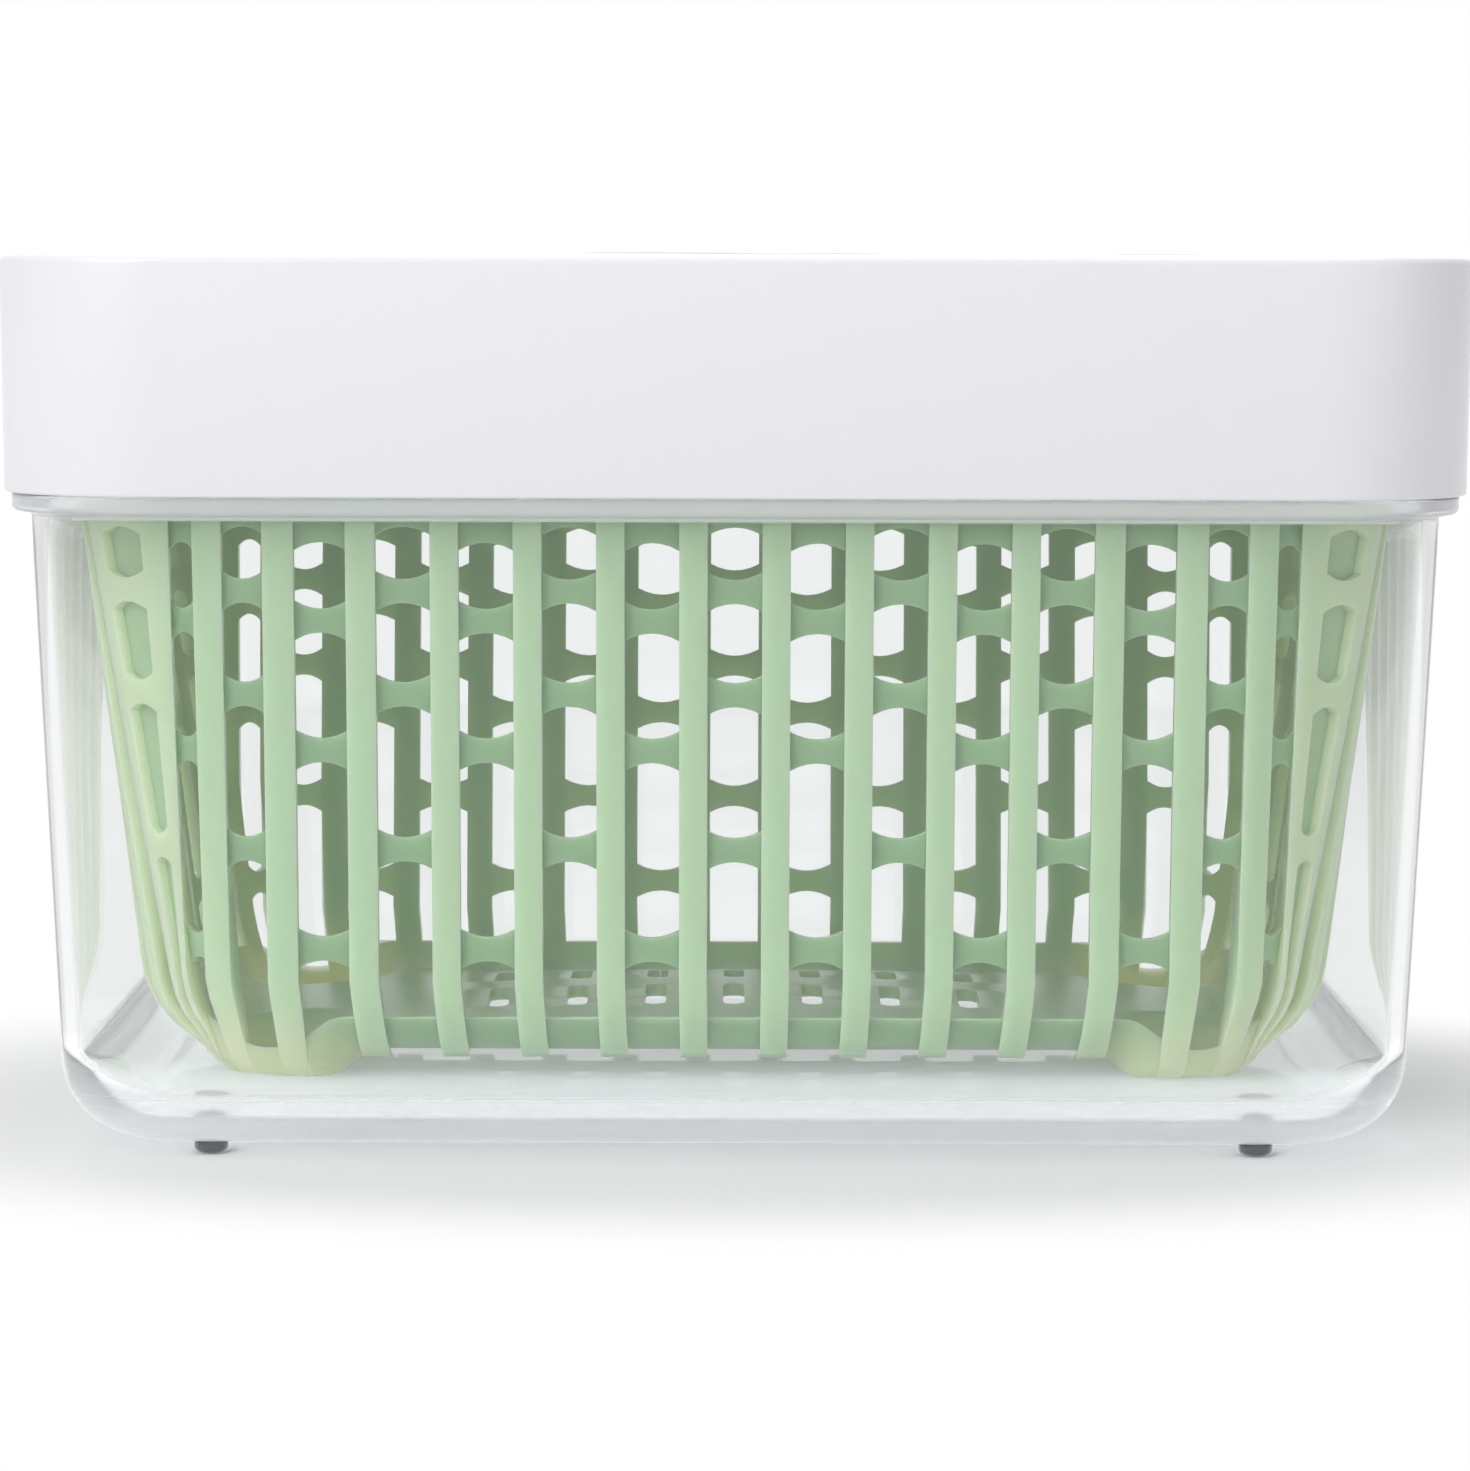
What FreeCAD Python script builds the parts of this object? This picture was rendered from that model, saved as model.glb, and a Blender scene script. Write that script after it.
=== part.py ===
import FreeCAD, Part
import os
from math import cos, degrees, radians, sin, tan
from FreeCAD import Vector

# A keeper for fruit and vegetables: a clear tub on four soft feet, a slotted basket that
# stands inside it, and a deep lid with a turning air vent, a filter bay and a date dial.
# X runs along the long side, Y towards the back, Z up. The origin is on the table,
# under the middle. All lengths are in millimetres and all angles in degrees.

# Overall size
length = 197.0
depth = 133.0
height = 121.0

# Tub
tub_corner = 18.6
tub_wall = 2.1
tub_floor = 4.6
tub_draft = 2.5
tub_bend = 10.0
tub_inner_bend = 8.0
tub_inner_facets = 8
flange_thick = 2.5
flange_reach = 2.55
flange_setback = 0.85

# Basket
basket_gap = 1.7
basket_corner = 24.0
basket_draft = 6.5
basket_wall = 1.6
basket_floor = 1.8
basket_bend = 12.0
basket_below_lid = 3.0
rib_proud = 1.3
rim_reach = 1.6
rim_height = 4.3
recess_bottom_rise = 6.0
leg_height = 5.3
leg_radius = 13.0
leg_pad = 6.0
leg_inset = 24.7
leg_wall = 1.8
leg_sides = 12
corner_facets = 5

# Slots of the basket: upright columns of slots in two kinds, A and B, that alternate.
# The columns are evenly spaced round a soft corner and are cut straight in from each side,
# so they get narrower where the wall turns away.
slot_pitch = 11.0
slot_width = 7.25
bar_height = 3.2
fan_inset = 39.2
fan_radius = 30.0
fan_angle = 53.0
slot_bottom_rise = 6.8
a_top_gap = 0.7
b_top_gap = 2.8
a_shares = [0.122, 0.187, 0.311, 0.380]
b_shares = [0.161, 0.259, 0.433, 0.147]
drain_length = 16.0
drain_width = 3.0
drain_rows = 2
drain_columns = 7
drain_pitch_x = 11.0
drain_pitch_y = 24.0

# Lid shell
skirt_height = 31.8
lid_corner = 22.0
lid_wall = 2.2
lid_top = 2.4
lid_draft = 0.9
lid_edge = 1.2
lid_rib = 1.5
lid_rib_drop = 5.0
lid_rib_x = 45.0
lid_rib_y = 37.0

# Turning air vent
vent_radius = 22.6
vent_gap = 0.4
vent_sink = 4.1
vent_disc = 2.0
vent_lift = 0.3
vent_floor = 2.0
window_inner = 9.0
window_outer = 17.5
window_count = 4
window_angle = 34.0
vent_turn = 45.0
stop_radius = 20.5
stop_width = 1.8
stop_depth = 0.9
stop_angle = 10.0
stop_gap = 0.3
grip_width = 8.0
grip_end_gap = 3.0
grip_taper = 0.8
grip_top_gap = 0.4
stem_radius = 3.0
stem_end = 0.3
running_gap = 0.05
clip_size = 10.0
clip_thick = 1.4

# Filter housing under the vent, its door and the filter pouch
bay_length = 60.0
bay_width = 52.0
bay_depth = 7.4
bay_wall = 1.8
shelf_thick = 1.6
air_gap = 3.4
grille_slot = 3.0
grille_pitch = 6.0
grille_edge = 6.0
door_thick = 1.8
door_gap = 0.2
hinge_reach = 3.4
hinge_radius = 2.3
hinge_sides = 8
pin_radius = 1.5
pin_length = 2.6
ear_radius = 2.8
ear_thick = 3.0
ear_rise = 5.0
ear_gap = 0.3
hinge_half_span = 23.0
latch_width = 12.0
latch_reach = 3.2
latch_rise = 4.0
latch_thick = 1.4
latch_gap = 0.3
filter_gap = 0.7
filter_lift = 0.3
filter_puff = 3.0
ledge_drop = 4.6
ledge_thick = 2.0
ledge_reach = 1.8
ledge_width = 8.0
ledge_y = 18.0
hook_gap = 0.3
hook_thick = 1.6
hook_barb = 1.2
hook_barb_thick = 1.5

# Date dial
dial_radius = 12.5
dial_gap = 0.4
dial_thick = 2.2
dial_sink = 0.6
dial_lift = 0.3
dial_floor = 1.6
dial_wall = 1.8
dial_well_sides = 16
dial_inset = 34.5
dial_stem_radius = 2.4
dial_snap_reach = 0.9
dial_snap_thick = 1.2
dial_snap_sides = 8
dial_groove = 3.0
dial_groove_depth = 1.0
dial_groove_end = 3.0

# Feet
foot_height = 1.8
foot_radius = 2.4
foot_flat = 1.7
foot_shoulder = 0.9
foot_sides = 16
foot_inset_x = 28.0
foot_inset_y = 19.0

# Overlap of solids that are joined, and reach of cutters beyond a surface
join = 1.0
UP = Vector(0, 0, 1)
BEND_BANDS = 3

# Heights that several pieces share
tub_floor_top = foot_height + tub_floor
lid_bottom = height - skirt_height
flange_bottom = lid_bottom - flange_thick
lid_inner_top = height - lid_top
rim_bottom = lid_bottom - basket_below_lid
basket_top = rim_bottom + rim_height
basket_bottom = tub_floor_top + leg_height
basket_floor_bottom = basket_bottom + rib_proud
basket_floor_top = basket_floor_bottom + basket_floor
disc_bottom = height - vent_sink - vent_disc
vent_floor_top = disc_bottom - vent_lift
vent_floor_bottom = vent_floor_top - vent_floor
shelf_top = vent_floor_bottom - air_gap
bay_top = shelf_top - shelf_thick
bay_bottom = bay_top - bay_depth
door_top = bay_bottom - door_gap
door_bottom = door_top - door_thick
ledge_top = lid_inner_top - ledge_drop
ledge_bottom = ledge_top - ledge_thick
dial_bottom = height - dial_sink - dial_thick
dial_floor_top = dial_bottom - dial_lift
dial_floor_bottom = dial_floor_top - dial_floor

# Half sizes of the outlines
lid_slope = tan(radians(lid_draft))
skirt_lean = lid_slope * (skirt_height - lid_edge)
flange_x = length / 2 - skirt_lean - flange_setback
flange_y = depth / 2 - skirt_lean - flange_setback
tub_x = flange_x - flange_reach
tub_y = flange_y - flange_reach
tub_slope = tan(radians(tub_draft))
rim_x = tub_x - tub_wall - basket_gap
rim_y = tub_y - tub_wall - basket_gap
basket_x = rim_x - rim_reach
basket_y = rim_y - rim_reach
basket_slope = tan(radians(basket_draft))
wall_depth = rib_proud + basket_wall
housing_x = bay_length / 2 + bay_wall
housing_y = bay_width / 2 + bay_wall
hinge_y = housing_y + hinge_reach
hinge_z = (door_top + door_bottom) / 2
pocket_radius = vent_radius + vent_gap
recess_radius = dial_radius + dial_gap
dial_x = length / 2 - dial_inset


def flat_face(points):
    """Flat face inside a closed polygon."""
    return Part.Face(Part.makePolygon(points + points[:1]))


def side_face(low_edge, high_edge):
    """Face between two edges that run the same way: ruled between arcs, flat between lines."""
    if isinstance(low_edge.Curve, Part.Circle):
        return Part.makeRuledSurface(low_edge, high_edge)
    low_ends = [vertex.Point for vertex in low_edge.Vertexes]
    high_ends = [vertex.Point for vertex in high_edge.Vertexes]
    return flat_face(low_ends + high_ends[::-1])


def stacked(rings):
    """Solid between closed level rings of edges, lowest first."""
    faces = [Part.Face(Part.Wire(ring)) for ring in (rings[0], rings[-1])]
    for below, above in zip(rings, rings[1:]):
        faces += [side_face(low_edge, high_edge) for low_edge, high_edge in zip(below, above)]
    shell = Part.makeShell(faces)
    shell.sewShape()
    solid = Part.makeSolid(shell)
    if solid.Volume < 0:
        solid.reverse()
    return solid


def lines(points):
    """Edges from each point to the next."""
    return [Part.makeLine(start, end) for start, end in zip(points, points[1:])]


def outline(half_x, half_y, corner, z, facets):
    """Edges of a level rectangle whose corners are arcs or, with facets, that many flats each."""
    steps = facets or 2
    corners = []
    for quarter, (side_x, side_y) in enumerate([(1, 1), (-1, 1), (-1, -1), (1, -1)]):
        axis = Vector(side_x * (half_x - corner), side_y * (half_y - corner), z)
        angles = [radians(90 * (quarter + step / steps)) for step in range(steps + 1)]
        corners.append([axis + Vector(corner * cos(angle), corner * sin(angle), 0) for angle in angles])
    edges = []
    for points, following in zip(corners, corners[1:] + corners[:1]):
        edges += lines(points) if facets else [Part.Arc(*points).toShape()]
        edges.append(Part.makeLine(points[-1], following[0]))
    return edges


def tapered(levels, facets=0):
    """Solid between level outlines (half_x, half_y, corner, z), lowest first."""
    return stacked([outline(*level, facets) for level in levels])


def many_sided(section, sides, x=0.0, y=0.0):
    """Solid with flat sides about the upright axis at (x, y); its section is (radius, height) pairs."""
    rings = []
    for radius, z in section:
        angles = [radians(360 * side / sides) for side in range(sides + 1)]
        rings.append(lines([Vector(x + radius * cos(angle), y + radius * sin(angle), z) for angle in angles]))
    return stacked(rings)


def dish(half_x, half_y, corner, low, high, slope, bend):
    """Levels of a drafted body with a rounded lower edge; half sizes are those at the top."""
    levels = []
    for band in range(BEND_BANDS + 1):
        turn = radians(90 * band / BEND_BANDS)
        z = low + bend * (1 - cos(turn))
        inset = bend * (1 - sin(turn))
        lean = slope * (high - z)
        levels.append((half_x - lean - inset, half_y - lean - inset, corner - inset, z))
    levels.append((half_x, half_y, corner, high))
    return levels


def disc(radius, low, high, x=0.0, y=0.0):
    """Upright cylinder."""
    return Part.makeCylinder(radius, high - low, Vector(x, y, low))


def bar(radius, start, end, y, z):
    """Cylinder along X."""
    return Part.makeCylinder(radius, end - start, Vector(start, y, z), Vector(1, 0, 0))


def block(size_x, size_y, low, high, x=0.0, y=0.0):
    """Upright block centred on (x, y)."""
    return Part.makeBox(size_x, size_y, high - low, Vector(x - size_x / 2, y - size_y / 2, low))


def sector(inner, outer, angle, middle, low, high):
    """Piece of a ring, angle wide, about the direction middle."""
    corners = [(inner, low), (outer, low), (outer, high), (inner, high)]
    section = flat_face([Vector(radius, 0, z) for radius, z in corners])
    section.rotate(Vector(), UP, middle - angle / 2)
    return section.revolve(Vector(), UP, angle)


def fused(shapes):
    """One solid from overlapping solids."""
    return shapes[0].multiFuse(shapes[1:]).removeSplitter()


def four_places(x, y):
    """The places (+-x, +-y), front left, front right, back left, back right."""
    return [(-x, -y), (x, -y), (-x, y), (x, y)]


def foot_places():
    """Centres of the feet."""
    return four_places(length / 2 - foot_inset_x, depth / 2 - foot_inset_y)


def container():
    """Clear tub: drafted wall and a flange at its rim, on which the lid rests."""
    outside = tapered(dish(tub_x, tub_y, tub_corner, foot_height, lid_bottom, tub_slope, tub_bend))
    flange_corner = tub_corner + flange_reach
    flange = tapered([(flange_x, flange_y, flange_corner, flange_bottom),
                      (flange_x, flange_y, flange_corner, lid_bottom)])
    inside = tapered(dish(tub_x - tub_wall, tub_y - tub_wall, tub_corner - tub_wall, tub_floor_top,
                          lid_bottom, tub_slope, tub_inner_bend), tub_inner_facets)
    return fused([outside, flange]).cut(inside)


def foot(x, y):
    """Soft foot with a small flat pad, stuck to the underside of the tub."""
    section = [(foot_flat, 0), (foot_radius, foot_shoulder), (foot_radius, foot_height)]
    return many_sided(section, foot_sides, x, y)


def slot_columns(half_width):
    """Place, width and kind of each slot column on a wall of the basket."""
    flat = half_width - fan_inset
    count = int((flat + fan_radius * radians(fan_angle)) / slot_pitch)
    columns = []
    for index in range(-count, count + 1):
        along = slot_pitch * abs(index)
        turn = max(0.0, along - flat) / fan_radius
        place = min(along, flat) + fan_radius * sin(turn)
        width = slot_width * cos(turn) - basket_wall * sin(turn)
        columns.append((place if index > 0 else -place, width, "B" if index % 2 else "A"))
    return columns


def slot_spans(kind):
    """Lowest and highest point of each slot in a column of one kind."""
    top = rim_bottom - (a_top_gap if kind == "A" else b_top_gap)
    shares = a_shares if kind == "A" else b_shares
    open_height = top - basket_bottom - slot_bottom_rise - bar_height * (len(shares) - 1)
    spans = []
    for share in shares:
        spans.append((top - open_height * share, top))
        top -= open_height * share + bar_height
    return spans


def wall_cutters(half_width, start, end):
    """Recesses between the ribs, and slots, of the wall that faces -Y."""
    recesses = []
    slots = []
    middle = -(start + end) / 2
    for place, width, kind in slot_columns(half_width):
        recesses.append(block(width, end - start, basket_bottom + recess_bottom_rise, rim_bottom,
                              place, middle))
        for low, high in slot_spans(kind):
            slots.append(block(width, end - start, low, high, place, middle))
    return recesses, slots


def all_cutters():
    """Recesses and slots of all four walls."""
    recesses = []
    slots = []
    walls = [(basket_x, basket_y - basket_corner, rim_y, 0), (basket_y, basket_x - basket_corner, rim_x, 90)]
    for half_width, start, end, turn in walls:
        for side in (turn, turn + 180):
            side_recesses, side_slots = wall_cutters(half_width, start, end)
            for cutter in side_recesses + side_slots:
                cutter.rotate(Vector(), UP, side)
            recesses.extend(side_recesses)
            slots.extend(side_slots)
    return recesses, slots


def basket_body(inset, low, high, bend):
    """Filled body of the basket, with its wall moved in by inset."""
    rise = basket_slope * (high - rim_bottom) - inset
    return tapered(dish(basket_x + rise, basket_y + rise, basket_corner - inset, low, high,
                        basket_slope, bend), corner_facets)


def basket_legs(inset):
    """The four legs as filled bodies, their walls and feet moved in by inset."""
    section = [(leg_pad - inset / 2, tub_floor_top + inset), (leg_radius - inset, basket_bottom + inset),
               (leg_radius - inset, basket_floor_top + inset)]
    return [many_sided(section, leg_sides, x, y)
            for x, y in four_places(basket_x - leg_inset, basket_y - leg_inset)]


def drain_slots():
    """Drain slots through the basket's floor, in rows along X."""
    slots = []
    for row in range(drain_rows):
        y = drain_pitch_y * (row - (drain_rows - 1) / 2)
        for column in range(drain_columns):
            x = drain_pitch_x * (column - (drain_columns - 1) / 2)
            slots.append(block(drain_width, drain_length, basket_bottom, basket_floor_top + join, x, y))
    return slots


def basket():
    """Slotted basket with proud upright ribs, a rim, drain slots and four hollow legs."""
    outside = basket_body(0, basket_bottom, basket_top, basket_bend)
    rim_corner = basket_corner + rim_reach
    rim = tapered([(rim_x, rim_y, rim_corner, rim_bottom), (rim_x, rim_y, rim_corner, basket_top)],
                  corner_facets)
    inside = basket_body(wall_depth, basket_floor_top, basket_top, basket_bend - wall_depth)
    skin = basket_body(rib_proud, basket_floor_bottom, basket_top, basket_bend - rib_proud)
    underside = block(2 * (basket_x - basket_corner), 2 * (basket_y - basket_corner),
                      basket_bottom - join, basket_floor_bottom)
    recesses, slots = all_cutters()
    body = fused([outside, rim]).cut(Part.makeCompound(recesses).cut(skin)).cut(underside)
    body = fused([body] + basket_legs(0))
    return body.cut([inside] + basket_legs(leg_wall)).cut(slots + drain_slots()).removeSplitter()


def skirt_half(size, z):
    """Half size of the lid's outer wall at a height."""
    return size / 2 - lid_slope * (height - lid_edge - z)


def lid_ribs():
    """Stiffening ribs under the lid's top, crossing from wall to wall."""
    low = lid_inner_top - lid_rib_drop
    high = lid_inner_top + join
    long_span = length - 2 * lid_wall
    short_span = depth - 2 * lid_wall
    ribs = [block(long_span, lid_rib, low, high, 0, side * lid_rib_y) for side in (-1, 1)]
    ribs += [block(lid_rib, short_span, low, high, side * lid_rib_x, 0) for side in (-1, 1)]
    return ribs


def stop_groove():
    """Curved groove in the vent pocket's floor that limits the turn of the disc."""
    gap_angle = degrees(stop_gap / stop_radius)
    half_width = stop_width / 2 + stop_gap
    return sector(stop_radius - half_width, stop_radius + half_width, vent_turn + stop_angle + 2 * gap_angle,
                  vent_turn / 2, vent_floor_top - stop_depth, vent_floor_top + join)


def snap_hook(side_x, side_y):
    """Hook that hangs from the lid's top and holds a ledge of the housing."""
    arm = housing_x + ledge_reach + hook_gap
    barb = arm - hook_barb
    low = ledge_bottom - hook_barb_thick
    corners = [(barb, ledge_bottom), (barb, low), (arm + hook_thick, low),
               (arm + hook_thick, lid_inner_top + join), (arm, lid_inner_top + join), (arm, ledge_bottom)]
    start_y = side_y * ledge_y - ledge_width / 2
    section = flat_face([Vector(side_x * x, start_y, z) for x, z in corners])
    return section.extrude(Vector(0, ledge_width, 0))


def lid_shell():
    """Deep lid: drafted skirt, vent pocket, date recess, stiffening ribs and snap hooks."""
    edge_bottom = height - lid_edge
    outside = tapered([
        (skirt_half(length, lid_bottom), skirt_half(depth, lid_bottom), lid_corner, lid_bottom),
        (length / 2, depth / 2, lid_corner, edge_bottom),
        (length / 2 - lid_edge, depth / 2 - lid_edge, lid_corner - lid_edge, height)])
    cavity = tapered([(skirt_half(length, z) - lid_wall, skirt_half(depth, z) - lid_wall,
                       lid_corner - lid_wall, z) for z in (lid_bottom, lid_inner_top)])
    well_radius = recess_radius + dial_wall
    added = [disc(pocket_radius + lid_wall, vent_floor_bottom, lid_inner_top + join),
             many_sided([(well_radius, dial_floor_bottom), (well_radius, lid_inner_top + join)],
                        dial_well_sides, dial_x)]
    added += [snap_hook(x, y) for x, y in four_places(1, 1)]
    cuts = [disc(pocket_radius, vent_floor_top, height + join),
            disc(stem_radius + running_gap, vent_floor_bottom - join, height),
            disc(recess_radius, dial_floor_top, height + join, dial_x),
            disc(dial_stem_radius + running_gap, dial_floor_bottom - join, height, dial_x),
            stop_groove()]
    cuts += [sector(window_inner, window_outer, window_angle, index * 360 / window_count,
                    vent_floor_bottom - join, vent_floor_top + join) for index in range(window_count)]
    return fused([outside.cut(cavity)] + added + lid_ribs()).cut(cuts)


def vent_dial():
    """Turning vent disc with windows, a grip bar, a stop lug and a stem through the lid."""
    disc_top = disc_bottom + vent_disc
    grip_half = vent_radius - grip_end_gap
    grip_top = height - grip_top_gap
    grip_section = [(-grip_half, disc_top - join), (grip_half, disc_top - join),
                    (grip_half - grip_taper, grip_top), (grip_taper - grip_half, grip_top)]
    grip = flat_face([Vector(x, -grip_width / 2, z) for x, z in grip_section])
    stem_bottom = vent_floor_bottom - vent_lift - clip_thick - stem_end
    lug = sector(stop_radius - stop_width / 2, stop_radius + stop_width / 2, stop_angle, 0,
                 vent_floor_top - stop_depth + stop_gap, disc_bottom + join)
    solids = [disc(vent_radius, disc_bottom, disc_top), grip.extrude(Vector(0, grip_width, 0)), lug,
              disc(stem_radius, stem_bottom, disc_bottom + join)]
    offset = 180 / window_count
    windows = [sector(window_inner, window_outer, window_angle, offset + index * 360 / window_count,
                      disc_bottom - join, disc_top + join) for index in range(window_count)]
    return fused(solids).cut(windows)


def vent_clip():
    """Square clip pressed on the stem, which holds the vent disc in the lid."""
    high = vent_floor_bottom - vent_lift
    low = high - clip_thick
    hole = disc(stem_radius + running_gap, low - join, high + join)
    return block(clip_size, clip_size, low, high).cut(hole)


def grille_slots(low, high):
    """Slots along Y over the area of the filter bay."""
    count = int((bay_length - 2 * grille_edge) / grille_pitch)
    slot_length = bay_width - 2 * grille_edge
    places = [grille_pitch * (index - (count - 1) / 2) for index in range(count)]
    return [block(grille_slot, slot_length, low - join, high + join, x) for x in places]


def hinge_ear(side):
    """Ear on the back of the housing that carries one hinge pin of the door."""
    inner = hinge_half_span if side > 0 else -hinge_half_span - ear_thick
    chamfer = ear_radius / 2
    corners = [(housing_y - join, bay_bottom), (hinge_y - ear_radius, bay_bottom),
               (hinge_y - ear_radius, hinge_z - chamfer), (hinge_y - chamfer, hinge_z - ear_radius),
               (hinge_y + chamfer, hinge_z - ear_radius), (hinge_y + ear_radius, hinge_z - chamfer),
               (hinge_y + ear_radius, bay_bottom), (housing_y - join, bay_bottom + ear_rise + join)]
    return flat_face([Vector(inner, y, z) for y, z in corners]).extrude(Vector(ear_thick, 0, 0))


def filter_housing():
    """Housing under the vent: air chamber, slotted shelf, filter bay, ledges and hinge ears."""
    ledge_half = housing_x + ledge_reach
    solids = [block(2 * housing_x, 2 * housing_y, bay_bottom, lid_inner_top)]
    solids += [block(2 * ledge_half, ledge_width, ledge_bottom, ledge_top, 0, side * ledge_y)
               for side in (-1, 1)]
    solids += [hinge_ear(side) for side in (-1, 1)]
    cuts = [block(bay_length, bay_width, shelf_top, lid_inner_top + join),
            block(bay_length, bay_width, bay_bottom - join, bay_top)]
    cuts += grille_slots(bay_top, shelf_top)
    cuts += [bar(pin_radius + running_gap, -ledge_half, ledge_half, hinge_y, hinge_z)]
    return fused(solids).cut(cuts)


def hinge_barrel(half_span):
    """Many-sided barrel of the door, about the hinge axis."""
    angles = [radians(360 * (side + 0.5) / hinge_sides) for side in range(hinge_sides)]
    section = flat_face([Vector(-half_span, hinge_y + hinge_radius * cos(angle),
                                hinge_z + hinge_radius * sin(angle)) for angle in angles])
    return section.extrude(Vector(2 * half_span, 0, 0))


def filter_cover():
    """Door with a grille under the filter, hinged at the back and latched at the front."""
    barrel_half = hinge_half_span - ear_gap
    pin_half = hinge_half_span + pin_length
    tongue_start = housing_y - join
    tab_y = -(housing_y + latch_gap + latch_thick / 2)
    shelf_y = -(housing_y + latch_reach / 2 - join / 2)
    solids = [block(2 * housing_x, 2 * housing_y, door_bottom, door_top),
              block(2 * barrel_half, hinge_y - tongue_start, door_bottom, door_top,
                    0, (hinge_y + tongue_start) / 2),
              hinge_barrel(barrel_half),
              bar(pin_radius, -pin_half, pin_half, hinge_y, hinge_z),
              block(latch_width, latch_reach + join, door_bottom, door_top, 0, shelf_y),
              block(latch_width, latch_thick, door_bottom, door_top + latch_rise, 0, tab_y)]
    return fused(solids).cut(grille_slots(door_bottom, door_top))


def pillow_section(half_width):
    """Section of the filter pouch: flat faces and drawn-in sides, as (along, height) pairs."""
    low = door_top + filter_lift
    high = bay_top - filter_lift
    middle = (low + high) / 2
    shoulder = half_width - filter_puff
    return [(-half_width, middle), (-shoulder, low), (shoulder, low),
            (half_width, middle), (shoulder, high), (-shoulder, high)]


def carbon_filter():
    """Filter pouch that lies in the bay: the common part of two crossing pillow sections."""
    half_x = bay_length / 2 - filter_gap
    half_y = bay_width / 2 - filter_gap
    along_y = flat_face([Vector(x, -half_y, z) for x, z in pillow_section(half_x)])
    along_x = flat_face([Vector(-half_x, y, z) for y, z in pillow_section(half_y)])
    return along_y.extrude(Vector(0, 2 * half_y, 0)).common(along_x.extrude(Vector(2 * half_x, 0, 0)))


def date_dial():
    """Small dial that is turned with a coin; its stem snaps through the lid."""
    snap_top = dial_floor_bottom - dial_lift
    snap_bottom = snap_top - dial_snap_thick
    dial_top = dial_bottom + dial_thick
    snap_radius = dial_stem_radius + dial_snap_reach
    solids = [disc(dial_radius, dial_bottom, dial_top, dial_x),
              disc(dial_stem_radius, snap_bottom, dial_bottom + join, dial_x),
              many_sided([(snap_radius, snap_bottom), (snap_radius, snap_top)], dial_snap_sides, dial_x)]
    groove = block(2 * (dial_radius - dial_groove_end), dial_groove,
                   dial_top - dial_groove_depth, dial_top + join, dial_x)
    return fused(solids).cut(groove)


def write(node, shape):
    """One STEP file for one node."""
    solids = shape.Solids
    body = solids[0] if len(solids) == 1 else Part.makeCompound(solids)
    body.exportStep("parts/%s.step" % node)
    print(node, len(solids), "valid" if body.isValid() else "NOT VALID", round(body.Volume))


def main():
    os.makedirs("parts", exist_ok=True)
    write("container", container())
    for name, place in zip(["front_left", "front_right", "back_left", "back_right"], foot_places()):
        write("foot_" + name, foot(*place))
    write("basket", basket())
    write("lid_shell", lid_shell())
    write("vent_dial", vent_dial())
    write("vent_clip", vent_clip())
    write("filter_housing", filter_housing())
    write("filter_cover", filter_cover())
    write("carbon_filter", carbon_filter())
    write("date_dial", date_dial())


main()
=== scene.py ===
# %% [markdown]
# # A produce keeper, dressed
# The keeper is a clear tub on four soft feet, a pale green basket with slots and ribs that stands
# inside it, and a deep white lid with a turning air vent, a filter bay and a date dial. Its solids
# and the way they move come ready made as a fixed frame. This notebook gives each one the fine
# shape and the finish that the eye expects, and then a table, lamps and a camera.
# %% The frame
import math
import bpy
import bmesh
from mathutils import Matrix, Vector


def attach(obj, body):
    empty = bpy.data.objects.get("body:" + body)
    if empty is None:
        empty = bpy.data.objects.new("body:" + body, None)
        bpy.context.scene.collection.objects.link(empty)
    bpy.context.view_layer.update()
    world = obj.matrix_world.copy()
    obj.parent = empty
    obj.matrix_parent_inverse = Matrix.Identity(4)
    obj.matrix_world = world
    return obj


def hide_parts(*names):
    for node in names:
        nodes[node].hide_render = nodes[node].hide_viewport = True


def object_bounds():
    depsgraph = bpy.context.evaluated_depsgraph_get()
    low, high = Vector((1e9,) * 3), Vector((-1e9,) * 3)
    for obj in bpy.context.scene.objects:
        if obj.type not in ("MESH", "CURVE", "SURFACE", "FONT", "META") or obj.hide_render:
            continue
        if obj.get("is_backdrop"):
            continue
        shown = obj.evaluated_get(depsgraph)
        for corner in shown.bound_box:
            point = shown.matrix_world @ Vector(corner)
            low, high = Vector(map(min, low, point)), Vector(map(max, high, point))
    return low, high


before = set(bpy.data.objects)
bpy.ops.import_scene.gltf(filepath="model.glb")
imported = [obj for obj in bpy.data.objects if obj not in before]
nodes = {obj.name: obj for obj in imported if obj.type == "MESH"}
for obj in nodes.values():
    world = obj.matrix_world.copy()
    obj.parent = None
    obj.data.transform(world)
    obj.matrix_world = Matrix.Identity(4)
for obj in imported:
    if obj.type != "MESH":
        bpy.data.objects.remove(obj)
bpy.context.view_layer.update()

# %% [markdown]
# ## Sizes
# A maker writes each size once. These are the sizes of the moulded pieces in millimetres, and every
# ring, rib and slot below is worked out from them. Meshes are built in millimetres too and are
# scaled to metres at the very end, because small numbers with many zeros are easy to mistype.
# %% Sizes
MM = 0.001
LENGTH, DEPTH, HEIGHT = 197.0, 133.0, 121.0
LID_BOTTOM = 89.2
FOOT_HEIGHT = 1.8
TUB = {"x": 94.624, "y": 62.624, "corner": 18.6, "slope": math.tan(math.radians(2.5)), "wall": 2.1,
       "floor": 6.4, "bend": 10.0, "inner_bend": 8.0}
LID = {"corner": 22.0, "slope": math.tan(math.radians(0.9)), "wall": 2.2, "inner_top": 118.6, "edge": 1.2}
BASKET_GAP, RIM_REACH = 1.7, 1.6
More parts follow.
